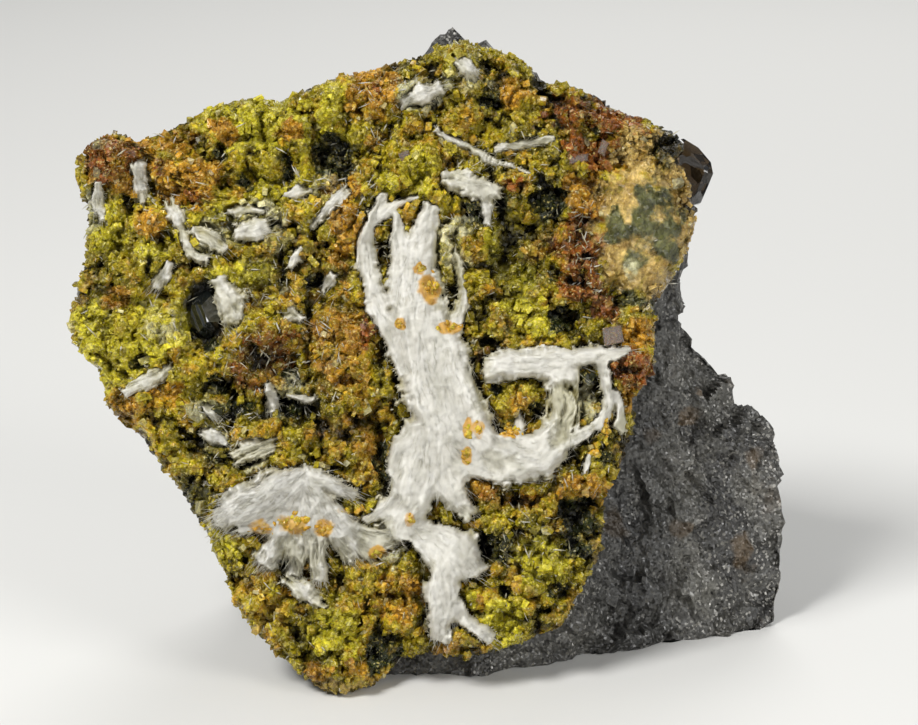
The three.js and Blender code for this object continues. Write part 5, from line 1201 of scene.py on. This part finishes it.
glassy = crust_material()
silk = silk_material()
build_ore(ore_material())
build_crust(glassy)
for name, count, edge_count, low, high, shape, sides in (
        ("crust_blocks", 8500, 1300, 0.17, 0.5, BLOCK, BLOCK_SIDES),
        ("crust_grains", 12500, 2200, 0.11, 0.32, SHARP, SHARP_SIDES),
        ("crust_sugar", 15000, 1000, 0.06, 0.17, SHARP, SHARP_SIDES)):
    build_grains(name, glassy, count, edge_count, low, high, shape, sides)
build_inclusions(glassy)

small_sprays = [name for name in STRANDS if name not in ("ettringite_great_spray", "ettringite_fan")]
sprays = [
    build_spray("great_spray_felt", silk, [STRANDS["ettringite_great_spray"]], 0.13, 2600, 0.018),
    build_spray("fan_felt", silk, [STRANDS["ettringite_fan"]], 0.1, 2600, 0.02),
    build_spray("small_spray_felt", silk, [STRANDS[name] for name in small_sprays], 0.09, 1300, 0.018, 1.0),
]
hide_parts("ettringite_great_spray")
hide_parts("ettringite_fan")
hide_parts(*small_sprays)
build_strays(silk, 2600)

finishes = {"black": jet_material(), "smoky": smoky_material(), "pale": plate_material()}
for name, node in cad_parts.items():
    finish = finishes.get(name.split("_")[0])
    if finish:
        node.data.materials.clear()
        node.data.materials.append(finish)

# ---- Floor, light and camera -----------------------------------------------------------------

FLOOR_HALF = 2.0
floor_mesh = bpy.data.meshes.new("floor")
floor_mesh.from_pydata([(-FLOOR_HALF, -FLOOR_HALF, 0), (FLOOR_HALF, -FLOOR_HALF, 0),
                        (FLOOR_HALF, FLOOR_HALF, 0), (-FLOOR_HALF, FLOOR_HALF, 0)], [], [(0, 1, 2, 3)])
floor = bpy.data.objects.new("floor", floor_mesh)
bpy.context.scene.collection.objects.link(floor)
floor_mesh.materials.append(new_material("matt_card", Base_Color=linear("#d8d7d3"), Roughness=0.8)[0])

world = bpy.data.worlds.new("soft_room")
world.use_nodes = True
world.node_tree.nodes["Background"].inputs["Color"].default_value = linear("#e8ebee")
world.node_tree.nodes["Background"].inputs["Strength"].default_value = 0.27
bpy.context.scene.world = world


def softbox(name, place, size, power):
    """A square area light that faces the specimen's middle."""
    light = bpy.data.lights.new(name, "AREA")
    light.size, light.energy = size, power
    lamp = bpy.data.objects.new(name, light)
    bpy.context.scene.collection.objects.link(lamp)
    from_middle = np.array(place) - (0, 0, 0.028)
    lamp.location = place
    lamp.rotation_euler = (math.atan2(math.hypot(*from_middle[:2]), from_middle[2]), 0,
                           math.atan2(from_middle[0], -from_middle[1]))
    return lamp


softbox("key", (-0.26, -0.30, 0.44), size=0.16, power=3.4)
softbox("fill", (0.36, -0.36, 0.26), size=0.24, power=1.3)
softbox("rear", (0.10, 0.45, 0.40), size=0.30, power=1.4)

VIEW_MIDDLE = np.array([2.77, 29.05, 265.0])    # the camera stands this far out from the face
VIEW_WIDTH = 79.5
camera_data = bpy.data.cameras.new("camera")
camera_data.sensor_width = 36.0
camera_data.lens = 36.0 * VIEW_MIDDLE[2] / VIEW_WIDTH
camera_data.clip_start = 0.01
camera = bpy.data.objects.new("camera", camera_data)
camera.location = on_face(VIEW_MIDDLE[None])[0]
camera.rotation_euler = (math.pi / 2 - LEAN, 0, 0)
bpy.context.scene.collection.objects.link(camera)
bpy.context.scene.camera = camera
bpy.context.scene.view_settings.view_transform = "Standard"
